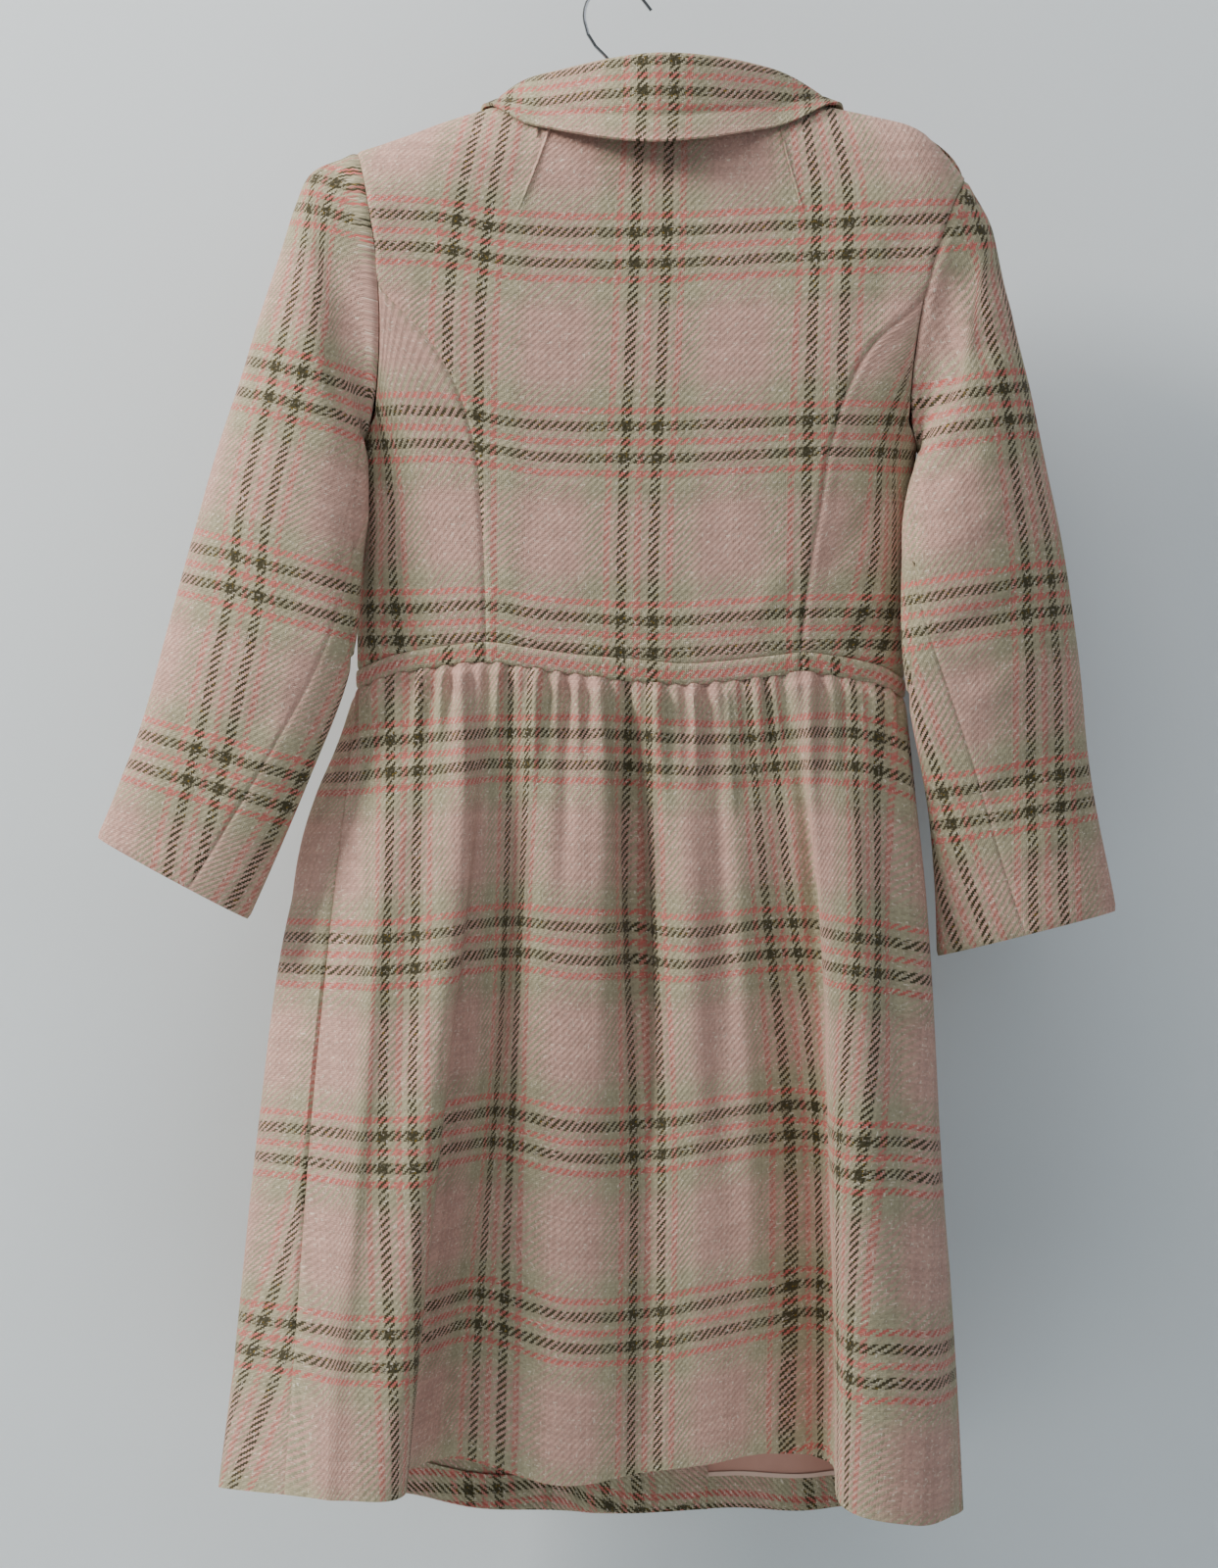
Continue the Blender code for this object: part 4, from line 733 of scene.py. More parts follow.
def front_grid(side: Side) -> Array:
    """A front, from the side seam and armhole to its free edge past the centre.

    Args:
        side: The wearer's side.

    Returns:
        The values or points described, in millimetres.
    """
    start = np.concatenate([side_line(side), front_armhole(side)[1:]])
    top = np.concatenate([shoulder_line(side, SHOULDER_COLUMNS, side), front_neckline(side)[1:]])
    edge_top = top[-1]
    edge_angle = float(torso_angle(front_edge_x(side), np.array(BAND_GUESS_HEIGHT), side))
    edge_bottom = np.array([edge_angle, float(band_heights(edge_angle)[0])])
    share = shares(start)[:, None]
    end = edge_bottom + (edge_top - edge_bottom) * share
    bottom = edge_of_band(start[0, 0], edge_angle, len(top) - 1, 0)
    return fill_between(bottom, top, start, end)


def under_lap(points: Array, side: Side) -> Array:
    """How far a left front's points move in, where the right front lies over them.

    Args:
        points: Grid or line of points.
        side: The wearer's side.

    Returns:
        The values or points described, in millimetres.
    """
    if side == Side.RIGHT:
        return np.zeros(points.shape[:-1])
    past = points[..., 0] - front_edge_x(Side.RIGHT)
    share = np.clip((LAP_START - past) / (LAP_START - LAP_FULL), 0, 1)
    on_front = points[..., 1] < 0
    return -np.where(on_front, share**2 * (3 - 2 * share), 0) * (CLOTH + LAYER_GAP)


def waist_places(rows: tuple) -> Array:
    """The direction round the torso at which each fold starts, for the back and then the front.

    Args:
        rows: The table's rows.

    Returns:
        The values or points described, in millimetres.
    """
    found = []
    for row in rows:
        face = Side.BACK if row in BACK_FOLDS else (Side.RIGHT if row.waist_x < CENTRE_FRONT_X else Side.LEFT)
        found.append(float(torso_angle(row.waist_x, np.array(BAND_GUESS_HEIGHT), face)))
    return np.array(found)


class Skirt:
    """The skirt's surface: a place round it in waist millimetres from the left seam, and a share down."""

    def __init__(self) -> None:
        """Sets up the tables that the object needs."""
        rows = BACK_FOLDS + FRONT_FOLDS
        angles = waist_places(rows)
        angles[0] = math.pi / 2
        angles[len(BACK_FOLDS) - 1] = -math.pi / 2
        angles = np.where(angles > math.pi / 2 + 1e-9, angles - 2 * math.pi, angles)
        points = torso_point(angles, BAND_GUESS_HEIGHT)
        around = np.roll(points, -1, axis=0) - points
        places = np.concatenate([[0], np.cumsum(np.linalg.norm(around, axis=1))])
        self.girth = places[-1]
        self.right_seam = places[len(BACK_FOLDS) - 1]
        self.places = places[:-1]
        self.angles = angles
        self.rows = rows
        self.centre_front = places[len(BACK_FOLDS) + [row.name for row in FRONT_FOLDS].index("centre front")]
        self.pitch = self.right_seam / BACK_GATHERS

    def around(self, place: Array | float, values: Array, turn: float = 0.0) -> Array:
        """Values smoothed once round the skirt, with a few rows repeated past each end.

        Args:
            place: Place round the skirt in waist millimetres.
            values: Known values, one for each knot.
            turn: What a value grows by once round.

        Returns:
            The values or points described, in millimetres.
        """
        ends = 3
        values = np.asarray(values, float)
        before, after = self.places[-ends:] - self.girth, self.places[:ends] + self.girth
        knots = np.concatenate([before, self.places, after])
        repeated = np.concatenate([values[-ends:] - turn, values, values[:ends] + turn])
        return smooth(np.mod(place, self.girth), knots, repeated)

    def base(self, place: Array | float, share: Array | float) -> Array:
        """The skirt's surface without its gathers.

        Args:
            place: Place round the skirt in waist millimetres.
            share: Share of the way down or along.

        Returns:
            The values or points described, in millimetres.
        """
        angle = self.around(place, self.angles, -2 * math.pi)
        top = torso_point(angle, band_heights(angle)[1])
        hem = self.around(place, column(self.rows, "hem_height"))
        weights = smooth(share, FOLD_LEVELS, np.eye(len(FOLD_LEVELS)))
        below = ("high", "low", "hem")
        x_levels = [top[..., 0]] + [self.around(place, column(self.rows, f"{n}_x")) for n in below]
        y_levels = [top[..., 1]] + [self.around(place, column(self.rows, f"{n}_y")) for n in below]
        x = sum(weights[..., level] * x_levels[level] for level in range(len(FOLD_LEVELS)))
        y = sum(weights[..., level] * y_levels[level] for level in range(len(FOLD_LEVELS)))
        z = top[..., 2] + (hem - top[..., 2]) * share
        return np.stack([x + self.side_puff(place, share), y, z], axis=-1)

    def side_puff(self, place: Array | float, share: Array | float) -> Array:
        """How far the left front's side is pushed out just below the waistband.

        Args:
            place: Place round the skirt in waist millimetres.
            share: Share of the way down or along.

        Returns:
            The values or points described, in millimetres.
        """
        from_seam = (self.girth - np.mod(place, self.girth)) / PUFF_WIDTH
        across = np.sin(math.pi * np.clip(from_seam, 0, 1))
        return SIDE_PUFF * across * np.sin(math.pi * np.clip(share / PUFF_END, 0, 1))

    def gather(self, place: Array | float, share: Array | float) -> Array:
        """How far the gathers stand out: a wave of uneven height that fades down the skirt.

        Args:
            place: Place round the skirt in waist millimetres.
            share: Share of the way down or along.

        Returns:
            The values or points described, in millimetres.
        """
        length = self.base(place, 0.0)[..., 2] - self.around(place, column(self.rows, "hem_height"))
        drop = np.asarray(share, float) * length
        depths = [row.drop for row in GATHER_ROWS] + [FIRST_PLAIN_ROW * SKIRT_LENGTH]
        strengths = [row.strength for row in GATHER_ROWS] + [0.0]
        strength = np.interp(drop, depths, strengths)
        uneven = 1 + GATHER_UNEVENNESS * np.sin(place / GATHER_BEATS[0]) * np.sin(place / GATHER_BEATS[1] + 1)
        from_edge = np.abs(place - self.centre_front) - FRONT_OVERLAP
        flat = np.clip(from_edge / GATHER_FLAT_AT_EDGE, 0, 1)
        wave = np.sin(2 * math.pi * place / self.pitch)
        return GATHER_HEIGHT * strength * uneven * flat * wave

    def normal_of(self, surface: Callable, place: Array | float, share: Array | float) -> Array:
        """Outward normals of a surface of place and share, from its slopes.

        Args:
            surface: Function of place and share.
            place: Place round the skirt in waist millimetres.
            share: Share of the way down or along.

        Returns:
            The values described, without a unit.
        """
        step_place, step_share = PLACE_STEP, SHARE_STEP
        near = np.clip(share, step_share, 1 - step_share)
        along = surface(place + step_place, share) - surface(place - step_place, share)
        down = surface(place, near + step_share) - surface(place, near - step_share)
        return unit(np.cross(down, along))

    def surface(self, place: Array | float, share: Array | float) -> Array:
        """The skirt's outer surface with its gathers.

        Args:
            place: Place round the skirt in waist millimetres.
            share: Share of the way down or along.

        Returns:
            The values or points described, in millimetres.
        """
        place, share = np.broadcast_arrays(np.asarray(place, float), np.asarray(share, float))
        plain = self.base(place, share)
        level = self.normal_of(self.base, place, share) * np.array([1.0, 1.0, 0.0])
        return plain + unit(level) * self.gather(place, share)[..., None]


def skirt_lap(skirt: Skirt, place: Array | float, side: Side) -> Array:
    """How far the left skirt front moves in, where the right one lies over it.

    Args:
        skirt: The skirt's surface.
        place: Place round the skirt in waist millimetres.
        side: The wearer's side.

    Returns:
        The values or points described, in millimetres.
    """
    if side != Side.LEFT:
        return np.zeros(np.shape(place))
    past = np.asarray(place) - skirt.centre_front - FRONT_OVERLAP
    share = np.clip((LAP_START - past) / (LAP_START - LAP_FULL), 0, 1)
    return -(share**2) * (3 - 2 * share) * (SKIRT_CLOTH + LAYER_GAP)


def skirt_span(skirt: Skirt, side: Side) -> tuple[float, float, int]:
    """Where a skirt piece starts and ends round the skirt, and how many gathers it has.

    Args:
        skirt: The skirt's surface.
        side: The wearer's side.

    Returns:
        Start, end and number of gathers.
    """
    return {
        Side.BACK: (0.0, skirt.right_seam, BACK_GATHERS),
        Side.RIGHT: (skirt.right_seam, skirt.centre_front + FRONT_OVERLAP, FRONT_GATHERS),
        Side.LEFT: (skirt.centre_front - FRONT_OVERLAP, skirt.girth, FRONT_GATHERS),
    }[side]


def armhole_loop(side: Side) -> Array:
    """The armhole's points once round, from the shoulder tip down the back and up the front.

    Args:
        side: The wearer's side.

    Returns:
        The values or points described, in millimetres.
    """
    upper = seam(ARMHOLE_BACK_UPPER[side], Side.BACK)
    lower = back_lower_armhole(side)
    front = front_armhole(side)
    line = np.concatenate([upper, lower[1:], front[1:-1]])
    return torso_point(line[:, 0], line[:, 1])


class Sleeve:
    """A sleeve's surface: a section from the armhole (0) to the cuff (1), and an angle round it."""

    def __init__(self, side: Side) -> None:
        """Sets up the tables that the object needs.

        Args:
            side: The wearer's side.
        """
        self.loop = armhole_loop(side)
        self.turn = 1 if side == Side.LEFT else -1
        self.rows = SLEEVE[side]
        closed = np.concatenate([self.loop, self.loop[:1]])
        lengths = np.linalg.norm(np.diff(closed, axis=0), axis=1)
        under = ARMHOLE_UPPER_ROWS + ARMHOLE_LOWER_ROWS
        down, up = lengths[:under], lengths[under:]
        first = np.concatenate([[0], np.cumsum(down) / down.sum() * 180])
        second = 180 + np.cumsum(up) / up.sum() * 180
        self.angles = np.concatenate([first, second])
        self.closed = closed
        outer = [self.loop[0]] + [np.array([r.outer_x, r.outer_y, r.outer_z]) for r in self.rows]
        inner = [self.loop[under]] + [np.array([r.inner_x, r.inner_y, r.inner_z]) for r in self.rows]
        self.outer, self.inner = np.array(outer), np.array(inner)
        self.depth = np.array([ARMHOLE_HALF_DEPTH] + [r.half_depth for r in self.rows])
        middle = (self.outer + self.inner) / 2
        steps = np.linalg.norm(np.diff(middle, axis=0), axis=1)
        places = np.concatenate([[0], np.cumsum(steps)])
        self.places = places / places[-1]

    def oval(self, share: Array | float, degrees: Array | float) -> Array:
        """The oval section through the outer and inner edge.

        Args:
            share: Share of the way down or along.
            degrees: Angle round the section.

        Returns:
            The values or points described, in millimetres.
        """
        outer = smooth(share, self.places, self.outer)
        inner = smooth(share, self.places, self.inner)
        depth = smooth(share, self.places, self.depth)
        across = unit(outer - inner)
        forward = np.array([0.0, 1.0, 0.0]) - across * across[..., 1:2]
        radians = np.radians(degrees)[..., None]
        fuller = FRONT_FULLNESS * np.clip(1 - np.asarray(share) / FRONT_FULLNESS_END, 0, 1)[..., None]
        deep = depth[..., None] + np.where(np.sin(radians) < 0, fuller, 0)
        half = (outer - inner) / 2
        points = (outer + inner) / 2 + half * np.cos(radians) + unit(forward) * deep * np.sin(radians)
        from_corner = np.clip((np.mod(degrees, 360) - CORNER_AT) / CORNER_REACH, -1, 1)
        corner = CORNER_FULLNESS * np.cos(from_corner * math.pi / 2) ** 2
        points[..., 0] -= self.turn * corner * np.clip(1 - np.asarray(share) / CORNER_END, 0, 1)
        return points

    def surface(self, share: Array | float, degrees: Array | float) -> Array:
        """The sleeve's outer surface: the armhole's own line, which turns into ovals down the sleeve.

        Args:
            share: Share of the way down or along.
            degrees: Angle round the section.

        Returns:
            The values or points described, in millimetres.
        """
        share, degrees = np.broadcast_arrays(np.asarray(share, float), np.asarray(degrees, float))
        wrapped = np.mod(degrees, 360)
        columns = [np.interp(wrapped, self.angles, self.closed[:, axis]) for axis in range(3)]
        armhole = np.stack(columns, axis=-1)
        start = self.oval(np.zeros(share.shape), degrees)
        fade = np.clip(1 - share / self.places[ARMHOLE_FADE_ROW], 0, 1)[..., None] ** ARMHOLE_FADE_POWER
        return self.oval(share, degrees) + (armhole - start) * fade


def sleeve_columns(
    sleeve: Sleeve, first: int, last: int, cuff_first: float, cuff_last: float, split: int,
) -> tuple[Array, Array]:
    """Angles of a sleeve piece's columns at the armhole and at the cuff.

    Args:
        sleeve: The sleeve's surface.
        first: First sample of the armhole.
        last: Last sample of the armhole.
        cuff_first: First angle at the cuff.
        cuff_last: Last angle at the cuff.
        split: Columns for each sample.

    Returns:
        The two arrays described.
    """
    samples = list(range(first, last + 1))
    count = len(sleeve.loop)
    at_armhole = np.array([sleeve.angles[s % count] + 360 * (s // count) for s in samples])
    fine = np.linspace(0, len(samples) - 1, (len(samples) - 1) * split + 1)
    at_armhole = np.interp(fine, np.arange(len(samples)), at_armhole)
    at_cuff = np.linspace(cuff_first, cuff_last, len(at_armhole))
    return at_armhole, at_cuff


def neckline_loop() -> tuple[Array, Array]:
    """The neckline's points and normals, once round from the left front's centre over the back.

    Returns:
        The two arrays described.
    """
    left = front_neckline(Side.LEFT)
    right = front_neckline(Side.RIGHT)
    line = np.concatenate([left[::-1], back_neckline()[1:-1], right])
    points = torso_point(line[:, 0], line[:, 1])
    return points, torso_normal(points)


def past_centre(index: int, point: Array, count: int) -> bool:
    """Whether a neckline point lies on the stretch that laps past the centre front.

    Args:
        index: Number of the point.
        point: One point.
        count: Number of stretches or points.

    Returns:
        True on that stretch.
    """
    if index < count // 2:
        return point[0] < CENTRE_FRONT_X + CENTRE_MARGIN and point[1] < 0
    return point[0] > CENTRE_FRONT_X - CENTRE_MARGIN and point[1] < 0


def hermite(part: float, start: Array, end: Array, leave: Array, arrive: Array) -> Array:
    """A point on the curve between two points with the given tangents.

    Args:
        part: Share of the curve.
        start: First point.
        end: Last point.
        leave: Tangent at the start.
        arrive: Tangent at the end.

    Returns:
        The values described, without a unit.
    """
    return (
        (1 + 2 * part) * (1 - part) ** 2 * start
        + part * (1 - part) ** 2 * leave
        + part**2 * (3 - 2 * part) * end
        + part**2 * (part - 1) * arrive
    )


# Plaid: where its groups of lines run, in millimetres

WARP_REPEAT = 122.0
WEFT_REPEAT = 131.0

# Down the back: where the middles of three groups of lines lie across the coat at each height.
WarpRow = namedtuple("WarpRow", "height left centre right")
BACK_WARP = table_of(
    WarpRow,
    (-470, 103, -12, -136), (-413, 103.5, -12.4, -136.9), (-347.5, 104, -14, -137.5),
    (-282, 104, -17.5, -139.1), (-216, 102.5, -20.8, -141.8), (-151, 95.3, -22.8, -144),
    (-118, 89, -24.2, -140), (-95, 84, -25.5, -136.2), (-60, 79, -27, -131),
)

# Across the back: how high the middles of three groups of lines lie at each place.
WeftRow = namedtuple("WeftRow", "x first second third")
BACK_WEFT = table_of(
    WeftRow,
    (-230, -173, -309, -437.6), (-205, -173.9, -309, -437.6), (-178, -175.2, -308.9, -437.6),
    (-145, -176.8, -308.5, -437.6), (-112, -178.5, -310.2, -438.8), (-47, -181.8, -313, -443.2),
    (-8, -183, -313.8, -443.5), (18, -183.1, -313.5, -441.5), (51, -181.8, -312.5, -438.8),
    (84, -179.2, -307.9, -433), (105, -174.5, -304, -433.5), (130, -171.5, -302.3, -434.6),
    (170, -169.3, -302.3, -434.6),
)

# Side back panels: where the middle of a group of lines runs down each.
SIDE_WARP = {
    Side.LEFT: ((-470, 157.5), (-413, 157.9), (-347.5, 160.5), (-300, 162)),
    Side.RIGHT: ((-470, -171), (-421, -172.8), (-367, -181.4), (-315, -189.8), (-269, -194.4), (-229, -201)),
}
FRONT_WEFT = {Side.LEFT: -170.0, Side.RIGHT: -174.0}
FRONT_WEFT_REPEAT = 132.5
FRONT_EDGE_WARP = {Side.LEFT: 50.0, Side.RIGHT: 72.0}

# The skirt's cloth, in the order of its folds: its place along the cloth at the waist, a quarter and half
# way down and at the hem, and the heights of its four groups of lines.
SkirtCloth = namedtuple("SkirtCloth", "waist high low hem first second third fourth")
BACK_CLOTH = table_of(
    SkirtCloth,
    (297, 299, 318, 341, -527, -657, -785, -915), (235, 246, 257, 290, -523, -656, -787, -918),
    (175, 190, 211, 240, -520, -650, -784, -915), (147.5, 163, 185, 188, -518.5, -647, -778, -906),
    (109, 109, 118, 142, -518.5, -645, -773, -896), (61, 56.5, 60.6, 66, -519, -649, -782, -909),
    (11.5, 2, 2.9, 0, -520, -650, -782, -909), (-40.6, -43, -41, -50.5, -522.5, -653, -776.5, -902),
    (-109.3, -105, -97.7, -106.5, -522, -647.5, -770.5, -894),
    (-160.4, -155, -146, -150, -519, -647, -772, -894),
    (-189, -190, -224, -247, -518.5, -652.5, -787, -921),
    (-243.5, -260, -276, -295, -520.5, -658.5, -791, -929),
    (-288.6, -295, -309, -329, -531.5, -664.5, -797, -932),
)
FRONT_FULLNESS_RATIO = (1.5, 1.25, 1.1, 1.03)
FRONT_LINES = {Side.LEFT: (-528, -657, -785, -915), Side.RIGHT: (-534, -666, -798, -930)}

# Tucks under the waistband, listed one by one: where each stands, how wide and high it is and how far down it
# runs.
Tuck = namedtuple("Tuck", "x width height reach")
TUCKS = table_of(
    Tuck,
    (165, 5.0, 4.0, 60), (152, 5.5, 4.8, 75), (130, 5.0, 5.1, 55), (115, 4.2, 4.4, 50),
    (100, 7.0, 6.5, 150), (78, 4.2, 4.8, 60), (53, 8.0, 6.1, 95), (38, 4.0, 4.4, 45),
    (25, 5.0, 4.8, 60), (10, 8.5, 8.4, 150), (-29, 10.0, 7.2, 110), (-51, 4.8, 5.1, 70),
    (-74, 5.2, 5.8, 95), (-87, 3.6, 4.0, 40), (-97, 3.6, 4.4, 55), (-127, 10.0, 7.6, 150),
    (-149, 4.2, 4.8, 55), (-164, 5.6, 5.4, 80), (-178, 4.6, 4.4, 60),
)

# Soft folds further down the skirt: place along the waist's width, where they start and end, depth, width.
SoftFold = namedtuple("SoftFold", "x start end depth width")
SOFT_FOLDS = table_of(
    SoftFold,
    (83, 0.0, 1.6, -6.5, 6), (-8, 0.0, 1.3, -5.5, 7), (-118, 0.0, 1.6, -6.5, 6),
    (102, 0.02, 1.2, 3.2, 9), (-66, 0.02, 0.5, -3.0, 5), (33, 0.01, 0.3, -3.4, 5),
    (150, 0.1, 0.85, 4.4, 13), (120, 0.05, 0.6, -3.7, 9), (66, 0.02, 0.7, -7.6, 8),
    (44, 0.12, 0.8, 4.1, 12), (12, 0.04, 0.55, 5.1, 8), (-8, 0.0, 0.6, -11.0, 6),
    (-58, 0.06, 0.65, -3.4, 9), (-76, 0.1, 0.9, 4.4, 11), (-104, 0.05, 0.85, -4.1, 9),
    (-120, 0.02, 0.5, -5.1, 6), (-150, 0.1, 0.8, 3.7, 10), (-176, 0.06, 0.7, -3.7, 9),
)

# Soft troughs and ridges of the bodice and the sleeves as the back shows them: from, to, depth and width.
Crease = namedtuple("Crease", "x z end_x end_z depth width")
BODICE_CREASES = table_of(
    Crease,
    (58, -92, 64, -142, -1.3, 3.0), (-112, -92, -121, -146, -1.3, 3.0),
    (150, -150, 112, -225, -1.6, 14), (-205, -165, -165, -240, -2.0, 14),
    (40, -130, -70, -132, 1.4, 16), (30, -420, -60, -424, -1.2, 12), (80, -390, 40, -440, 1.0, 10),
    (-120, -395, -85, -440, 1.2, 10), (-60, -330, -85, -430, -1.0, 12), (50, -330, 62, -430, -0.9, 12),
    (150, -350, 100, -395, -1.0, 9), (-185, -350, -140, -400, -1.2, 9),
    (-190, -410, -145, -440, 1.0, 8), (148, -410, 100, -438, 0.9, 8),
)
SLEEVE_CREASES = {
    Side.LEFT: table_of(
        Crease,
        (196, -180, 170, -250, -2.2, 9), (215, -230, 178, -320, 1.6, 12),
        (235, -300, 175, -350, -1.6, 9), (262, -360, 178, -400, 1.3, 10),
        (275, -410, 190, -450, -1.8, 9), (290, -450, 205, -490, 1.4, 10),
        (300, -500, 240, -530, -1.2, 9), (225, -480, 290, -570, -1.2, 11),
    ),
    Side.RIGHT: table_of(
        Crease,
        (-236, -190, -250, -262, -4.2, 12), (-222, -200, -232, -290, -2.0, 8),
        (-262, -210, -266, -290, 2.0, 12), (-240, -310, -205, -355, -1.8, 9),
        (-270, -350, -206, -395, 1.4, 11), (-285, -420, -210, -450, -1.8, 9),
        (-300, -450, -225, -500, 1.4, 11), (-305, -520, -240, -560, -1.4, 10),
        (-300, -580, -250, -600, 1.0, 9),
    ),
}

# The sleeves' lines lean: how much they drop across, and where one group and one line down the sleeve lie.
SleeveCloth = namedtuple("SleeveCloth", "lean height x")
SLEEVE_CLOTH_AT = {Side.LEFT: SleeveCloth(0.27, -290, 165), Side.RIGHT: SleeveCloth(-0.155, -298, -195)}
SLEEVE_WARP = {
    Side.LEFT: ((-600, 291), (-520, 272), (-440, 253), (-360, 243), (-290, 226), (-200, 205), (-150, 199)),
    Side.RIGHT: ((-645, -291), (-511, -288), (-393, -283), (-291, -270), (-206, -254), (-150, -250)),
}
UNDER_WARP_SHIFT = {Side.LEFT: 38.0, Side.RIGHT: 38.0}


def hex_colour(text: str) -> tuple[float, float, float, float]:
    """Linear colour of an sRGB hex code.

    Args:
        text: Six hex digits.

    Returns:
        Linear red, green, blue and alpha.
    """
    parts = [int(text[i : i + 2], 16) / 255 for i in (0, 2, 4)]
    linear = [part / 12.92 if part <= 0.04045 else ((part + 0.055) / 1.055) ** 2.4 for part in parts]
    return (linear[0], linear[1], linear[2], 1.0)


def fine_grid(grid: Array, rows: Array, columns: Array) -> Array:
    """A coarse grid of values resampled at the given row and column places (0 to 1), smoothly.

    Args:
        grid: Grid of angle and height pairs.
        rows: Places of the rows, 0 to 1.
        columns: Places of the columns, 0 to 1.

    Returns:
        The values or points described, in millimetres.
    """
    coarse_rows = np.linspace(0, 1, grid.shape[0])
    coarse_columns = np.linspace(0, 1, grid.shape[1])
    first = smooth(rows, coarse_rows, grid)
    second = smooth(columns, coarse_columns, np.swapaxes(first, 0, 1))
    return np.swapaxes(second, 0, 1)


def spread(length: float, step: float, edge: tuple = (0.0, 0.5, 1.1, 1.9, 3.0, 4.6)) -> Array:
    """Places from 0 to 1 along a length, closer together at both ends.

    Args:
        length: Length in millimetres.
        step: Distance between places.
        edge: Distances of the first places from an end.

    Returns:
        The values described, without a unit.
    """
    near = np.array(edge) / length
    count = max(3, int(round((length - 2 * edge[-1]) / step)))
    middle = np.linspace(near[-1], 1 - near[-1], count + 1)
    return np.concatenate([near[:-1], middle, 1 - near[-2::-1]])


def grid_distance(points: Array) -> Array:
    """How far each point of a grid lies from the grid's first column, along its row."""
    steps = np.linalg.norm(np.diff(points, axis=1), axis=2)
    return np.concatenate([np.zeros((len(points), 1)), np.cumsum(steps, axis=1)], axis=1)


def from_edges(points: Array) -> Array:
    """How far each point of a grid lies from the nearest edge of the grid.

    Args:
        points: Grid or line of points.

    Returns:
        The values or points described, in millimetres.
    """
    across = grid_distance(points)
    up = grid_distance(np.swapaxes(points, 0, 1)).T
    sideways = np.minimum(across, across[:, -1:] - across)
    upward = np.minimum(up, up[-1:] - up)
    return np.minimum(sideways, upward)


def grid_normals(points: Array, toward: Array) -> Array:
    """Unit normals of a grid, on the same side as the given directions.

    Args:
        points: Grid or line of points.
        toward: Directions on the wanted side.

    Returns:
        The values described, without a unit.
    """
    normals = unit(np.cross(np.gradient(points, axis=1), np.gradient(points, axis=0)))
    sign = np.sign(np.sum(normals * toward, axis=-1).mean())
    return normals * (sign if sign else 1)


def creased(points: Array, creases: tuple) -> Array:
    """How far soft creases lift each point: a rounded trough or ridge along each crease's line.

    Args:
        points: Grid or line of points.
        creases: Rows of the crease table.

    Returns:
        The values or points described, in millimetres.
    """
    lift = np.zeros(points.shape[:-1])
    x, z = points[..., 0], points[..., 2]
    for crease in creases:
        run = np.array([crease.end_x - crease.x, crease.end_z - crease.z], float)
        length = np.linalg.norm(run)
        run = run / length
        off_x, off_z = x - crease.x, z - crease.z
        place = (off_x * run[0] + off_z * run[1]) / length
        aside = off_x * -run[1] + off_z * run[0]
        body = np.exp(-((aside / crease.width) ** 2))
        ends = np.clip(np.minimum(place, 1 - place) * 3 + 0.35, 0, 1)
        lift += crease.depth * body * ends**2 * (3 - 2 * ends)
    return lift


def waves(points: Array, scale: float, seed: int) -> Array:
    """Low uneven swells of a cloth, from a few crossed sines.

    Args:
        points: Grid or line of points.
        scale: Length of a swell.
        seed: Seed of the random directions.

    Returns:
        The values described, without a unit.
    """
    rng = np.random.default_rng(seed)
    total = np.zeros(points.shape[:-1])
    for _ in range(5):
        direction = rng.normal(size=3)
        direction /= np.linalg.norm(direction)
        total += np.sin(points @ direction / scale + rng.uniform(0, 6.28))
    return total / 5


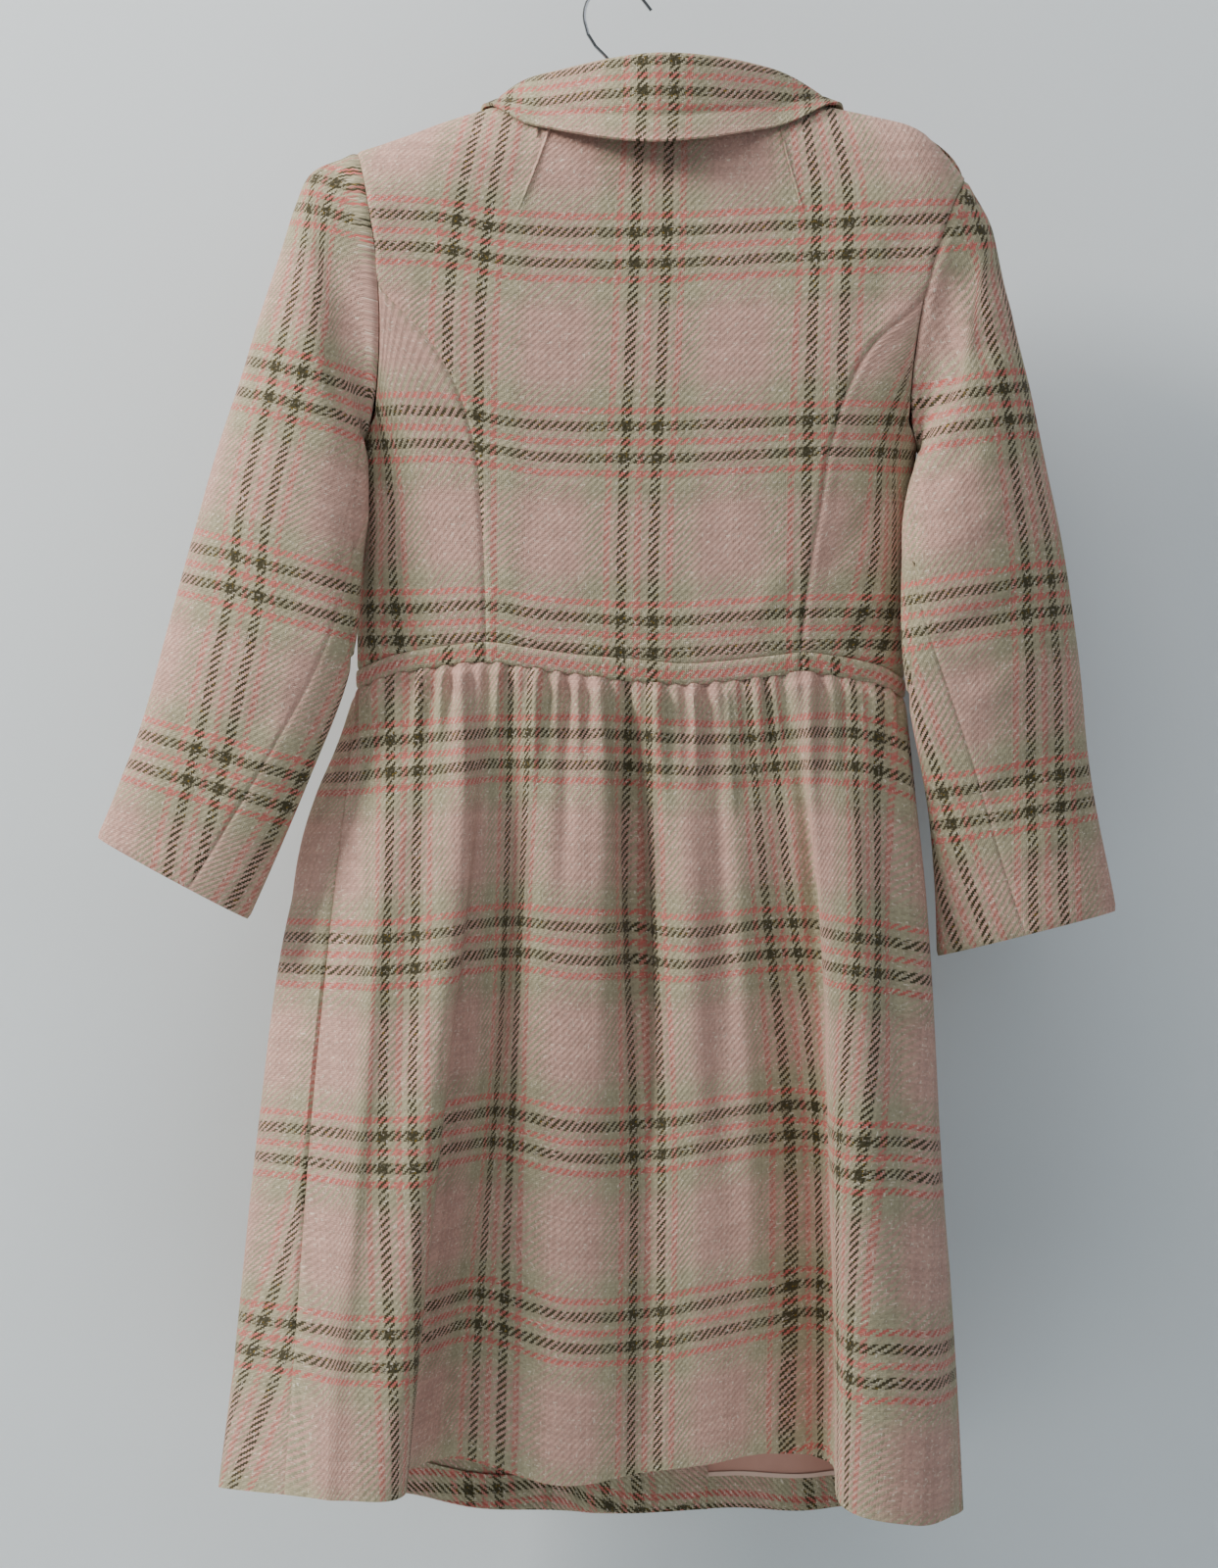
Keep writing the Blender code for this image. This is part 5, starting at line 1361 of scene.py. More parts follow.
@dataclass
class Piece:
    """One cloth piece: a closed thin wall between an outer and an inner grid, with its weave's places."""

    name: str
    outer: Array
    inner: Array
    places: Array
    finish: bpy.types.Material
    node: str | None
    is_sheet: bool = True
    held: Held = Held.HUNG
    slot: Slot = Slot.TWEED

    def build(self) -> None:
        rows, columns = self.outer.shape[:2]
        count = rows * columns
        points = np.concatenate([self.outer.reshape(-1, 3), self.inner.reshape(-1, 3)]) * METRES
        index = np.arange(count).reshape(rows, columns)
        corners = [index[:-1, :-1], index[:-1, 1:], index[1:, 1:], index[1:, :-1]]
        quads = np.stack(corners, axis=-1).reshape(-1, 4)
        border = np.concatenate([index[0], index[1:, -1], index[-1, -2::-1], index[-2:0:-1, 0]])
        following = np.roll(border, -1)
        rim = np.stack([following, border, border + count, following + count], axis=-1)
        faces = np.concatenate([quads, quads[:, ::-1] + count, rim])
        outward = self.outer - self.inner
        middle = (rows // 2, columns // 2)
        face = np.cross(
            self.outer[middle[0], middle[1] + 1] - self.outer[middle],
            self.outer[middle[0] + 1, middle[1]] - self.outer[middle],
        )
        if np.dot(face, outward[middle]) < 0:
            faces = faces[:, ::-1]
        mesh = bpy.data.meshes.new(self.name)
        mesh.vertices.add(len(points))
        mesh.vertices.foreach_set("co", points.ravel())
        mesh.loops.add(faces.size)
        mesh.loops.foreach_set("vertex_index", faces.ravel().astype(np.int32))
        mesh.polygons.add(len(faces))
        mesh.polygons.foreach_set("loop_start", np.arange(0, faces.size, 4, dtype=np.int32))
        mesh.update(calc_edges=True)
        mesh.validate()
        layer = mesh.uv_layers.new(name="cloth")
        both = np.concatenate([self.places.reshape(-1, 2)] * 2)
        layer.data.foreach_set("uv", both[faces.ravel()].ravel().astype(np.float32))
        mesh.shade_smooth()
        mesh.set_sharp_from_angle(angle=math.radians(SHARP_ANGLE))
        mesh.materials.append(self.finish)
        thing = bpy.data.objects.new(self.name, mesh)
        bpy.context.scene.collection.objects.link(thing)
        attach(thing, "root")
        if self.node:
            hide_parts(self.node)
        if self.is_sheet:
            self.declare()
        log.info("%s: %d faces", self.name, len(faces))

    def declare(self) -> None:
        """Logs the piece's cut: what the weave's places cover, along and across, and its area.
        """
        u, v = self.places[..., 0], self.places[..., 1]
        width = float(u.max() - u.min()) * METRES
        length = float(v.max() - v.min()) * METRES
        across = self.places[1:, 1:] - self.places[:-1, :-1]
        along_cut = self.places[1:, :-1] - self.places[:-1, 1:]
        cut = across[..., 0] * along_cut[..., 1] - across[..., 1] * along_cut[..., 0]
        area = float(np.abs(cut).sum()) / 2 * METRES**2
        log.info("%s: cut %.3f x %.3f m, %.4f m2", self.name, width, length, area)


class NodeKit:
    """Adds and links the nodes of one material."""

    def __init__(self, name: str) -> None:
        """Sets up the tables that the object needs.

        Args:
            name: Name of the material.
        """
        self.material = bpy.data.materials.new(name)
        self.material.use_nodes = True
        self.tree = self.material.node_tree
        self.shader = self.tree.nodes["Principled BSDF"]

    def node(self, kind: str, settings: dict | None = None, **inputs: object) -> bpy.types.Node:
        """Adds a node, sets its settings and its inputs, and links inputs that are sockets.

        Args:
            kind: Type of node.
            settings: The node's own settings.
            inputs: Values or sockets by input name.

        Returns:
            The node.
        """
        made = self.tree.nodes.new(kind)
        for name, value in (settings or {}).items():
            setattr(made, name, value)
        for name, value in inputs.items():
            key = int(name[1:]) if name[0] == "i" and name[1:].isdigit() else name.replace("_", " ")
            socket = made.inputs[key]
            if isinstance(value, bpy.types.NodeSocket):
                self.tree.links.new(value, socket)
            else:
                socket.default_value = value
        return made

    def maths(
        self, operation: str, first: object, second: object = 0.0, third: object = 0.0,
    ) -> bpy.types.NodeSocket:
        """One arithmetic step."""
        return self.node("ShaderNodeMath", {"operation": operation}, i0=first, i1=second, i2=third).outputs[0]

    def mix(self, share: object, first: object, second: object, blend: str = 'MIX') -> bpy.types.NodeSocket:
        """A blend of two colours.

        Args:
            share: Share of the second colour.
            first: First colour.
            second: Second colour.
            blend: Way of blending.

        Returns:
            The result's socket.
        """
        made = self.tree.nodes.new("ShaderNodeMix")
        made.data_type = "RGBA"
        made.blend_type = blend
        made.clamp_factor = True
        for socket, value in ((made.inputs[0], share), (made.inputs[6], first), (made.inputs[7], second)):
            if isinstance(value, bpy.types.NodeSocket):
                self.tree.links.new(value, socket)
            else:
                socket.default_value = value
        return made.outputs[2]

    def ramp(self, at: bpy.types.NodeSocket, stops: list) -> bpy.types.NodeSocket:
        """A colour ramp over (place, colour) stops.

        Args:
            at: Place on the ramp.
            stops: Places and colours.

        Returns:
            The result's socket.
        """
        made = self.node("ShaderNodeValToRGB", i0=at)
        elements = made.color_ramp.elements
        elements[0].position, elements[0].color = stops[0]
        elements[1].position, elements[1].color = stops[-1]
        for position, colour in stops[1:-1]:
            elements.new(position).color = colour
        return made.outputs[0]

    def combine(self, x: object, y: object, z: object = 0.0) -> bpy.types.NodeSocket:
        """A vector of three values."""
        return self.node("ShaderNodeCombineXYZ", X=x, Y=y, Z=z).outputs[0]

    def link(self, source: bpy.types.NodeSocket, name: str) -> None:
        """Links a socket to the shader's input."""
        self.tree.links.new(source, self.shader.inputs[name])

    def set(self, **values: object) -> None:
        """Sets the shader's inputs that aren't linked."""
        for name, value in values.items():
            self.shader.inputs[name.replace("_", " ")].default_value = value


PINK = hex_colour("BF988A")
SAGE = hex_colour("A39B80")
CORAL = hex_colour("BF675F")
DARK = hex_colour("403C28")
WARP_CORAL = hex_colour("B8776B")
MUSTARD = hex_colour("8A6F1E")
CREAM = hex_colour("EADFCC")
# Places of the plaid's stripes either side of a group's middle, and what lies between them.
STRIPES = (
    (-44.0, PINK),
    (-33.0, SAGE),
    (-23.9, SAGE),
    (-23.2, CORAL),
    (-19.5, CORAL),
    (-18.8, SAGE),
    (-14.5, SAGE),
    (-13.9, DARK),
    (-7.5, DARK),
    (-6.9, SAGE),
    (-2.5, SAGE),
    (-1.9, CORAL),
    (1.9, CORAL),
    (2.5, SAGE),
    (6.9, SAGE),
    (7.5, DARK),
    (13.9, DARK),
    (14.5, SAGE),
    (18.8, SAGE),
    (19.5, CORAL),
    (23.2, CORAL),
    (23.9, SAGE),
    (33.0, SAGE),
    (44.0, PINK),
)
YARN = 1.25
WEFT_SEED = 411.3


@dataclass(frozen=True)
class PlaidTweed:
    """Woven wool tweed: a twill of two sets of striped yarns, with slubs, fuzz and a soft nap.

    The eye gets dusty pink cloth with slanted dashes of dark and coral yarn on sage bands.
    """

    name: str = "plaid_tweed"
    wander: float = 2.4
    unevenness: float = 0.30
    roughness: float = 0.92
    sheen: float = 0.16

    def material(self) -> bpy.types.Material:
        """Builds the finish's nodes.

        Returns:
            The material.
        """
        kit = NodeKit(self.name)
        uv = kit.node("ShaderNodeUVMap", {"uv_map": "cloth"}).outputs[0]
        split = kit.node("ShaderNodeSeparateXYZ", i0=uv)
        u, v = split.outputs[0], split.outputs[1]
        wander = kit.node("ShaderNodeTexNoise", Vector=uv, Scale=0.045, Detail=2.0, Roughness=0.5)
        moved = kit.node("ShaderNodeSeparateColor", i0=wander.outputs["Color"])
        u = kit.maths("MULTIPLY_ADD", moved.outputs[0], self.wander, u)
        v = kit.maths("MULTIPLY_ADD", moved.outputs[1], self.wander, v)
        tiny = kit.node("ShaderNodeTexNoise", Vector=uv, Scale=0.55, Detail=2.0, Roughness=0.6)
        shaken = kit.node("ShaderNodeSeparateColor", i0=tiny.outputs["Color"])
        u = kit.maths("MULTIPLY_ADD", shaken.outputs[0], 1.0, u)
        v = kit.maths("MULTIPLY_ADD", shaken.outputs[1], 1.0, v)

        def stripes(at: bpy.types.NodeSocket, repeat: float, coral: tuple) -> bpy.types.NodeSocket:
            """One set of stripes, whose coral lines take the colour given."""
            place = kit.maths("FRACT", kit.maths("ADD", kit.maths("DIVIDE", at, repeat), 0.5))
            return kit.ramp(place, [(p / repeat + 0.5, coral if c is CORAL else c) for p, c in STRIPES])

        warp_yarn = kit.maths("FLOOR", kit.maths("DIVIDE", u, YARN))
        weft_yarn = kit.maths("FLOOR", kit.maths("DIVIDE", v, YARN))
        warp = stripes(u, WARP_REPEAT, WARP_CORAL)
        weft = stripes(v, WEFT_REPEAT, CORAL)

        def uneven(
            colour: bpy.types.NodeSocket, yarn: bpy.types.NodeSocket, vector: bpy.types.NodeSocket,
        ) -> bpy.types.NodeSocket:
            """Yarns that differ in lightness, with slubs along them and pale nubs.

            Args:
                colour: Colour of the yarns.
                yarn: Number of the yarn.
                vector: Place along the yarn.

            Returns:
                The result's socket.
            """
            own = kit.node("ShaderNodeTexWhiteNoise", {"noise_dimensions": "1D"}, W=yarn).outputs[0]
            slub = kit.node("ShaderNodeTexNoise", Vector=vector, Scale=1.0, Detail=3.0, Roughness=0.65)
            light = kit.maths("MULTIPLY_ADD", own, self.unevenness, 0.80)
            light = kit.maths("ADD", light, kit.maths("MULTIPLY", slub.outputs[0], 0.18))
            bright = kit.node("ShaderNodeHueSaturation", Value=light, Color=colour, Saturation=1.0, Hue=0.5)
            nub = kit.node("ShaderNodeMapRange", i0=slub.outputs[0], i1=0.59, i2=0.66)
            nubs = kit.maths("MULTIPLY", nub.outputs[0], 0.7)
            return kit.mix(nubs, bright.outputs[0], CREAM)

        warp_vector = kit.combine(kit.maths("MULTIPLY", u, 0.55), kit.maths("MULTIPLY", v, 0.16), 3.0)
        weft_vector = kit.combine(kit.maths("MULTIPLY", u, 0.16), kit.maths("MULTIPLY", v, 0.55), 9.0)
        warp = uneven(warp, warp_yarn, warp_vector)
        weft = uneven(weft, kit.maths("ADD", weft_yarn, WEFT_SEED), weft_vector)
        step = kit.maths("ADD", warp_yarn, weft_yarn)
        turn = kit.maths("FLOORED_MODULO", step, 4.0)
        over = kit.maths("LESS_THAN", turn, 1.5)
        colour = kit.mix(over, weft, warp)
        patch = kit.node("ShaderNodeTexNoise", Vector=uv, Scale=0.09, Detail=3.0, Roughness=0.6)
        flecks = kit.node("ShaderNodeTexNoise", Vector=uv, Scale=0.42, Detail=2.0, Roughness=0.6)
        flecked = kit.node("ShaderNodeMapRange", i0=flecks.outputs[0], i1=0.60, i2=0.66).outputs[0]
        level = kit.node("ShaderNodeSeparateColor", {"mode": "HSV"}, i0=colour).outputs[2]
        darkness = kit.node("ShaderNodeMapRange", i0=level, i1=0.16, i2=0.06).outputs[0]
        mustard = kit.maths("MULTIPLY", kit.maths("MULTIPLY", flecked, darkness), 0.75)
        colour = kit.mix(mustard, colour, MUSTARD)
        shade = kit.node("ShaderNodeMapRange", i0=patch.outputs[0], i1=0.3, i2=0.7, i3=0.90, i4=1.08)
        colour = kit.node("ShaderNodeHueSaturation", Value=shade.outputs[0], Color=colour, Hue=0.5).outputs[0]
        kit.link(colour, "Base Color")

        ridge_u = kit.maths("PINGPONG", u, YARN / 2)
        ridge_v = kit.maths("PINGPONG", v, YARN / 2)
        round_warp = kit.maths("DIVIDE", ridge_u, YARN / 2)
        round_weft = kit.maths("DIVIDE", ridge_v, YARN / 2)
        diagonal = kit.maths("PINGPONG", kit.maths("ADD", u, v), 2 * YARN)
        threads = kit.maths("MULTIPLY", round_warp, round_weft)
        height = kit.maths("ADD", threads, kit.maths("MULTIPLY", diagonal, 0.5))
        fuzz = kit.node("ShaderNodeTexNoise", Vector=uv, Scale=0.9, Detail=4.0, Roughness=0.7)
        height = kit.maths("MULTIPLY_ADD", fuzz.outputs[0], 2.0, height)
        bump = kit.node("ShaderNodeBump", Strength=0.55, Distance=0.0007, Height=height)
        kit.link(bump.outputs[0], "Normal")
        kit.set(Roughness=self.roughness, Specular_IOR_Level=0.25)
        kit.set(Sheen_Weight=self.sheen, Sheen_Roughness=0.5)
        kit.shader.inputs["Sheen Tint"].default_value = hex_colour("E8CFC4")
        kit.material.diffuse_color = PINK
        return kit.material


@dataclass(frozen=True)
class SatinLining:
    """Satin-weave lining: smooth peach cloth with a soft sheen across it."""

    name: str = "satin_lining"
    roughness: float = 0.42

    def material(self) -> bpy.types.Material:
        """Builds the finish's nodes.

        Returns:
            The material.
        """
        kit = NodeKit(self.name)
        uv = kit.node("ShaderNodeUVMap", {"uv_map": "cloth"}).outputs[0]
        swell = kit.node("ShaderNodeTexNoise", Vector=uv, Scale=0.05, Detail=2.0, Roughness=0.5)
        colour = kit.mix(swell.outputs[0], hex_colour("B98474"), hex_colour("CC9683"))
        kit.link(colour, "Base Color")
        fine = kit.node("ShaderNodeTexNoise", Vector=uv, Scale=1.4, Detail=2.0, Roughness=0.5)
        bump = kit.node("ShaderNodeBump", Strength=0.15, Distance=0.0003, Height=fine.outputs[0])
        kit.link(bump.outputs[0], "Normal")
        kit.set(Roughness=self.roughness, Specular_IOR_Level=0.5, Sheen_Weight=0.1, Anisotropic=0.4)
        return kit.material


@dataclass(frozen=True)
class PlainFinish:
    """A simple hard finish whose colour and roughness vary a little over the piece."""

    name: str
    colour: str
    second: str
    roughness: float
    metallic: float = 0.0
    scale: float = 60.0

    def material(self) -> bpy.types.Material:
        """Builds the finish's nodes.

        Returns:
            The material.
        """
        kit = NodeKit(self.name)
        place = kit.node("ShaderNodeTexCoord").outputs["Object"]
        noise = kit.node("ShaderNodeTexNoise", Vector=place, Scale=self.scale, Detail=3.0, Roughness=0.55)
        kit.link(kit.mix(noise.outputs[0], hex_colour(self.colour), hex_colour(self.second)), "Base Color")
        least, most = self.roughness * 0.8, self.roughness
        rough = kit.node("ShaderNodeMapRange", i0=noise.outputs[0], i1=0.3, i2=0.7, i3=least, i4=most)
        kit.link(rough.outputs[0], "Roughness")
        kit.set(Metallic=self.metallic)
        return kit.material


def back_weave(points: Array) -> Array:
    """The weave's places on the back: read off the tables of where its lines run.

    Args:
        points: Grid or line of points.

    Returns:
        The values or points described, in millimetres.
    """
    x, z = points[..., 0], points[..., 2]
    tracks = [smooth(z, column(BACK_WARP, "height"), column(BACK_WARP, n)) for n in WarpRow._fields[1:]]
    left, centre, right = tracks
    toward_left = (x - centre) / (left - centre) * WARP_REPEAT
    toward_right = (x - centre) / (centre - right) * WARP_REPEAT
    u = np.where(x > centre, toward_left, toward_right)
    return np.stack([u, back_weft(x, z)], axis=-1)


def back_weft(x: Array | float, z: Array | float) -> Array:
    """The weave's place up the back: 0 at the first group of lines and one repeat between groups.

    Args:
        x: Places across the coat.
        z: Heights.

    Returns:
        The values or points described, in millimetres.
    """
    first, second, third = table_at(x, BACK_WEFT, "x", WeftRow._fields[1:])
    upper = (z - first) / (first - second) * WEFT_REPEAT
    lower = -WEFT_REPEAT + (z - second) / (second - third) * WEFT_REPEAT
    return np.where(z > second, upper, lower)


def track_places(points: Array, track: tuple) -> Array:
    """The weave's place along each row of a grid: 0 where the given line runs, and real lengths from it.

    Args:
        points: Grid or line of points.
        track: Height and place pairs of a line of the plaid.

    Returns:
        The values or points described, in millimetres.
    """
    distance = grid_distance(points)
    heights = np.array([row[0] for row in track], float)
    places = np.array([row[1] for row in track], float)
    order = np.argsort(heights)
    gap = points[..., 0] - np.interp(points[..., 2], heights[order], places[order])
    crosses = np.nonzero((gap.min(axis=1) < 0) & (gap.max(axis=1) > 0))[0]
    nearest = np.argmin(np.abs(gap[crosses]), axis=1)
    bend = np.polyfit(crosses / len(points), distance[crosses, nearest], 2)
    start = np.polyval(bend, np.arange(len(points)) / len(points))
    return distance - start[:, None]


# Neck darts: where the back shows each one start and end.
Dart = namedtuple("Dart", "name x z end_x end_z")
DARTS = table_of(
    Dart,
    (Side.LEFT, 43.5, -103, 65, -161), (Side.RIGHT, -110.5, -103, -125.5, -161),
)


@dataclass
class Bodice:
    """The bodice's five panels and the waistband's five pieces."""

    cloth: bpy.types.Material
    step: float = 2.6
    tuck: float = 1.0
    dart_reach: float = 3.2
    dart_cloth: float = 0.5
    band_step: float = 2.0
    band_overlap: float = 0.9

    def panel(self, name: str, grid: Array, weave: Callable, side: Side | None = None) -> None:
        """One panel: the torso's surface with its creases, drawn in at its seams.

        Args:
            name: Name of the piece or column.
            grid: Grid of angle and height pairs.
            weave: Function that gives the weave's places.
            side: Side of a front, or nothing for the back.
        """
        coarse = torso_point(grid[..., 0], grid[..., 1])
        width = grid_distance(coarse)[:, -1].mean()
        height = grid_distance(np.swapaxes(coarse, 0, 1))[:, -1].mean()
        fine = fine_grid(grid, spread(height, self.step), spread(width, self.step))
        points = torso_point(fine[..., 0], fine[..., 1])
        normals = torso_normal(points)
        lift = creased(points, BODICE_CREASES) if points[..., 1].mean() > 0 else creased(points, ())
        lift = lift + 0.35 * waves(points, 24.0, len(name))
        edge = from_edges(points)
        inside = np.clip(edge / 14, 0, 1)
        lift = lift * inside - self.tuck * np.exp(-((edge / 1.5) ** 2))
        lift = lift + 0.45 * np.exp(-(((edge - 4.5) / 2.4) ** 2))
        if side:
            lift = lift + under_lap(points, side)
        outer = points + normals * lift[..., None]
        outer = inset_edges(outer, 0.05)
        inner = outer - grid_normals(outer, normals) * CLOTH
        Piece(name, outer, inner, weave(points), self.cloth, name.replace("_cloth", "")).build()

    def build(self) -> None:
        """Makes the panels and the band."""
        self.panel("back_centre_cloth", back_centre_grid(), back_weave)
        for side in (Side.LEFT, Side.RIGHT):

            def side_weave(points: Array, side: Side = side) -> Array:
                """The weave's places on a side back panel.

                Args:
                    points: Grid or line of points.
                    side: The wearer's side.

                Returns:
                    The values or points described, in millimetres.
                """
                distance = track_places(points, SIDE_WARP[side])
                toward = np.sign(points[0, -1, 0] - points[0, 0, 0])
                u = distance * toward
                return np.stack([u, back_weft(points[..., 0], points[..., 2])], axis=-1)

            def front_weave(points: Array, side: Side = side) -> Array:
                """The weave's places on a front.

                Args:
                    points: Grid or line of points.
                    side: The wearer's side.

                Returns:
                    The values or points described, in millimetres.
                """
                distance = grid_distance(points)
                turn = 1 if side == Side.LEFT else -1
                u = turn * (FRONT_EDGE_WARP[side] + distance[:, -1:] - distance)
                v = (points[..., 2] - FRONT_WEFT[side]) * WEFT_REPEAT / FRONT_WEFT_REPEAT
                return np.stack([u, v], axis=-1)

            self.panel(f"back_side_{side}_cloth", back_side_grid(side), side_weave)
            self.panel(f"front_{side}_cloth", front_grid(side), front_weave, side)
        self.build_darts()
        self.build_band()

    def build_darts(self) -> None:
        """The neck darts: each a narrow fold that stands up on its outer side and dips into its seam."""
        for dart in DARTS:
            down = np.linspace(0, 1, 40)[:, None]
            aside = np.linspace(-self.dart_reach, self.dart_reach, 25)[None, :]
            x = dart.x + (dart.end_x - dart.x) * down**1.15 + aside
            z = dart.z + (dart.end_z - dart.z) * down + 0 * aside
            points = torso_point(torso_angle(x, z, Side.BACK), z)
            normals = torso_normal(points)
            body = creased(points, BODICE_CREASES) + 0.35 * waves(points, 24.0, len("back_centre_cloth"))
            outward = aside if dart.name == Side.LEFT else -aside
            step = 1.1 * np.exp(-((outward - 0.9) ** 2) / 1.3) - 1.0 * np.exp(-((outward / 0.45) ** 2))
            taper = np.clip((1 - down) * 3, 0, 1)
            lift = body + 0.15 + step * taper - 0.6 * (np.abs(aside) / self.dart_reach) ** 4
            outer = points + normals * lift[..., None]
            inner = outer - normals * self.dart_cloth
            name = f"neck_dart_{dart.name}"
            Piece(name, outer, inner, back_weave(points), self.cloth, None, is_sheet=False).build()

    def build_band(self) -> None:
        """The waistband's pieces: narrow rolls between two seams."""
        left, right = princess_line(Side.LEFT)[0, 0], princess_line(Side.RIGHT)[0, 0]
        pieces = {"waistband_back": (left, right, 225.0)}
        for side, start in ((Side.LEFT, left), (Side.RIGHT, right)):
            turn = math.copysign(math.pi / 2, start)
            edge = float(torso_angle(front_edge_x(side), np.array(BAND_GUESS_HEIGHT), side))
            pieces[f"waistband_side_{side}"] = (start, turn, 100.0)
            pieces[f"waistband_front_{side}"] = (turn, edge, 240.0)
        for name, (first, last, length) in pieces.items():
            side = Side.LEFT if name.endswith(Side.LEFT) else Side.RIGHT
            columns = spread(length, self.band_step)
            angle = first + (last - first) * columns
            top, bottom = band_heights(angle)
            rows = np.linspace(0, 1, 13)[:, None]
            z = (bottom - self.band_overlap)[None, :] + (top - bottom + 2 * self.band_overlap)[None, :] * rows
            points = torso_point(np.broadcast_to(angle, z.shape), z)
            normals = torso_normal(points)
            roll = np.sqrt(np.clip(1 - (2 * rows - 1) ** 4, 0, 1))
            ends = grid_distance(points)
            ends = np.minimum(ends, ends[:, -1:] - ends)
            lift = -0.8 + 2.0 * roll * (1 - 0.7 * np.exp(-((ends / 1.4) ** 2))) + 0.25 * waves(points, 9.0, 5)
            lift = lift + under_lap(points, side)
            outer = points + normals * lift[..., None]
            inner = outer - normals * CLOTH
            if name == "waistband_back":
                u = back_weave(points)[..., 0]
            else:
                toward = 1 if side == Side.LEFT else -1
                u = back_weave(points)[:, :1, 0] + toward * grid_distance(points)
            v = -16.5 - (1 - rows) * 12.0 + 0 * u
            Piece(f"{name}_cloth", outer, inner, np.stack([u, v], axis=-1), self.cloth, name).build()


@dataclass(frozen=True)
class Layer:
    """A layer inside a skirt front, in shares of the front's width and millimetres above the hem."""

    name: str
    node: str | None
    side: Side
    start: float
    end: float
    low: float
    high: float
    gap: float
    thickness: float
    slot: Slot
    shift: float = 0.0
    corner: float = 0.0
    is_sheet: bool = True


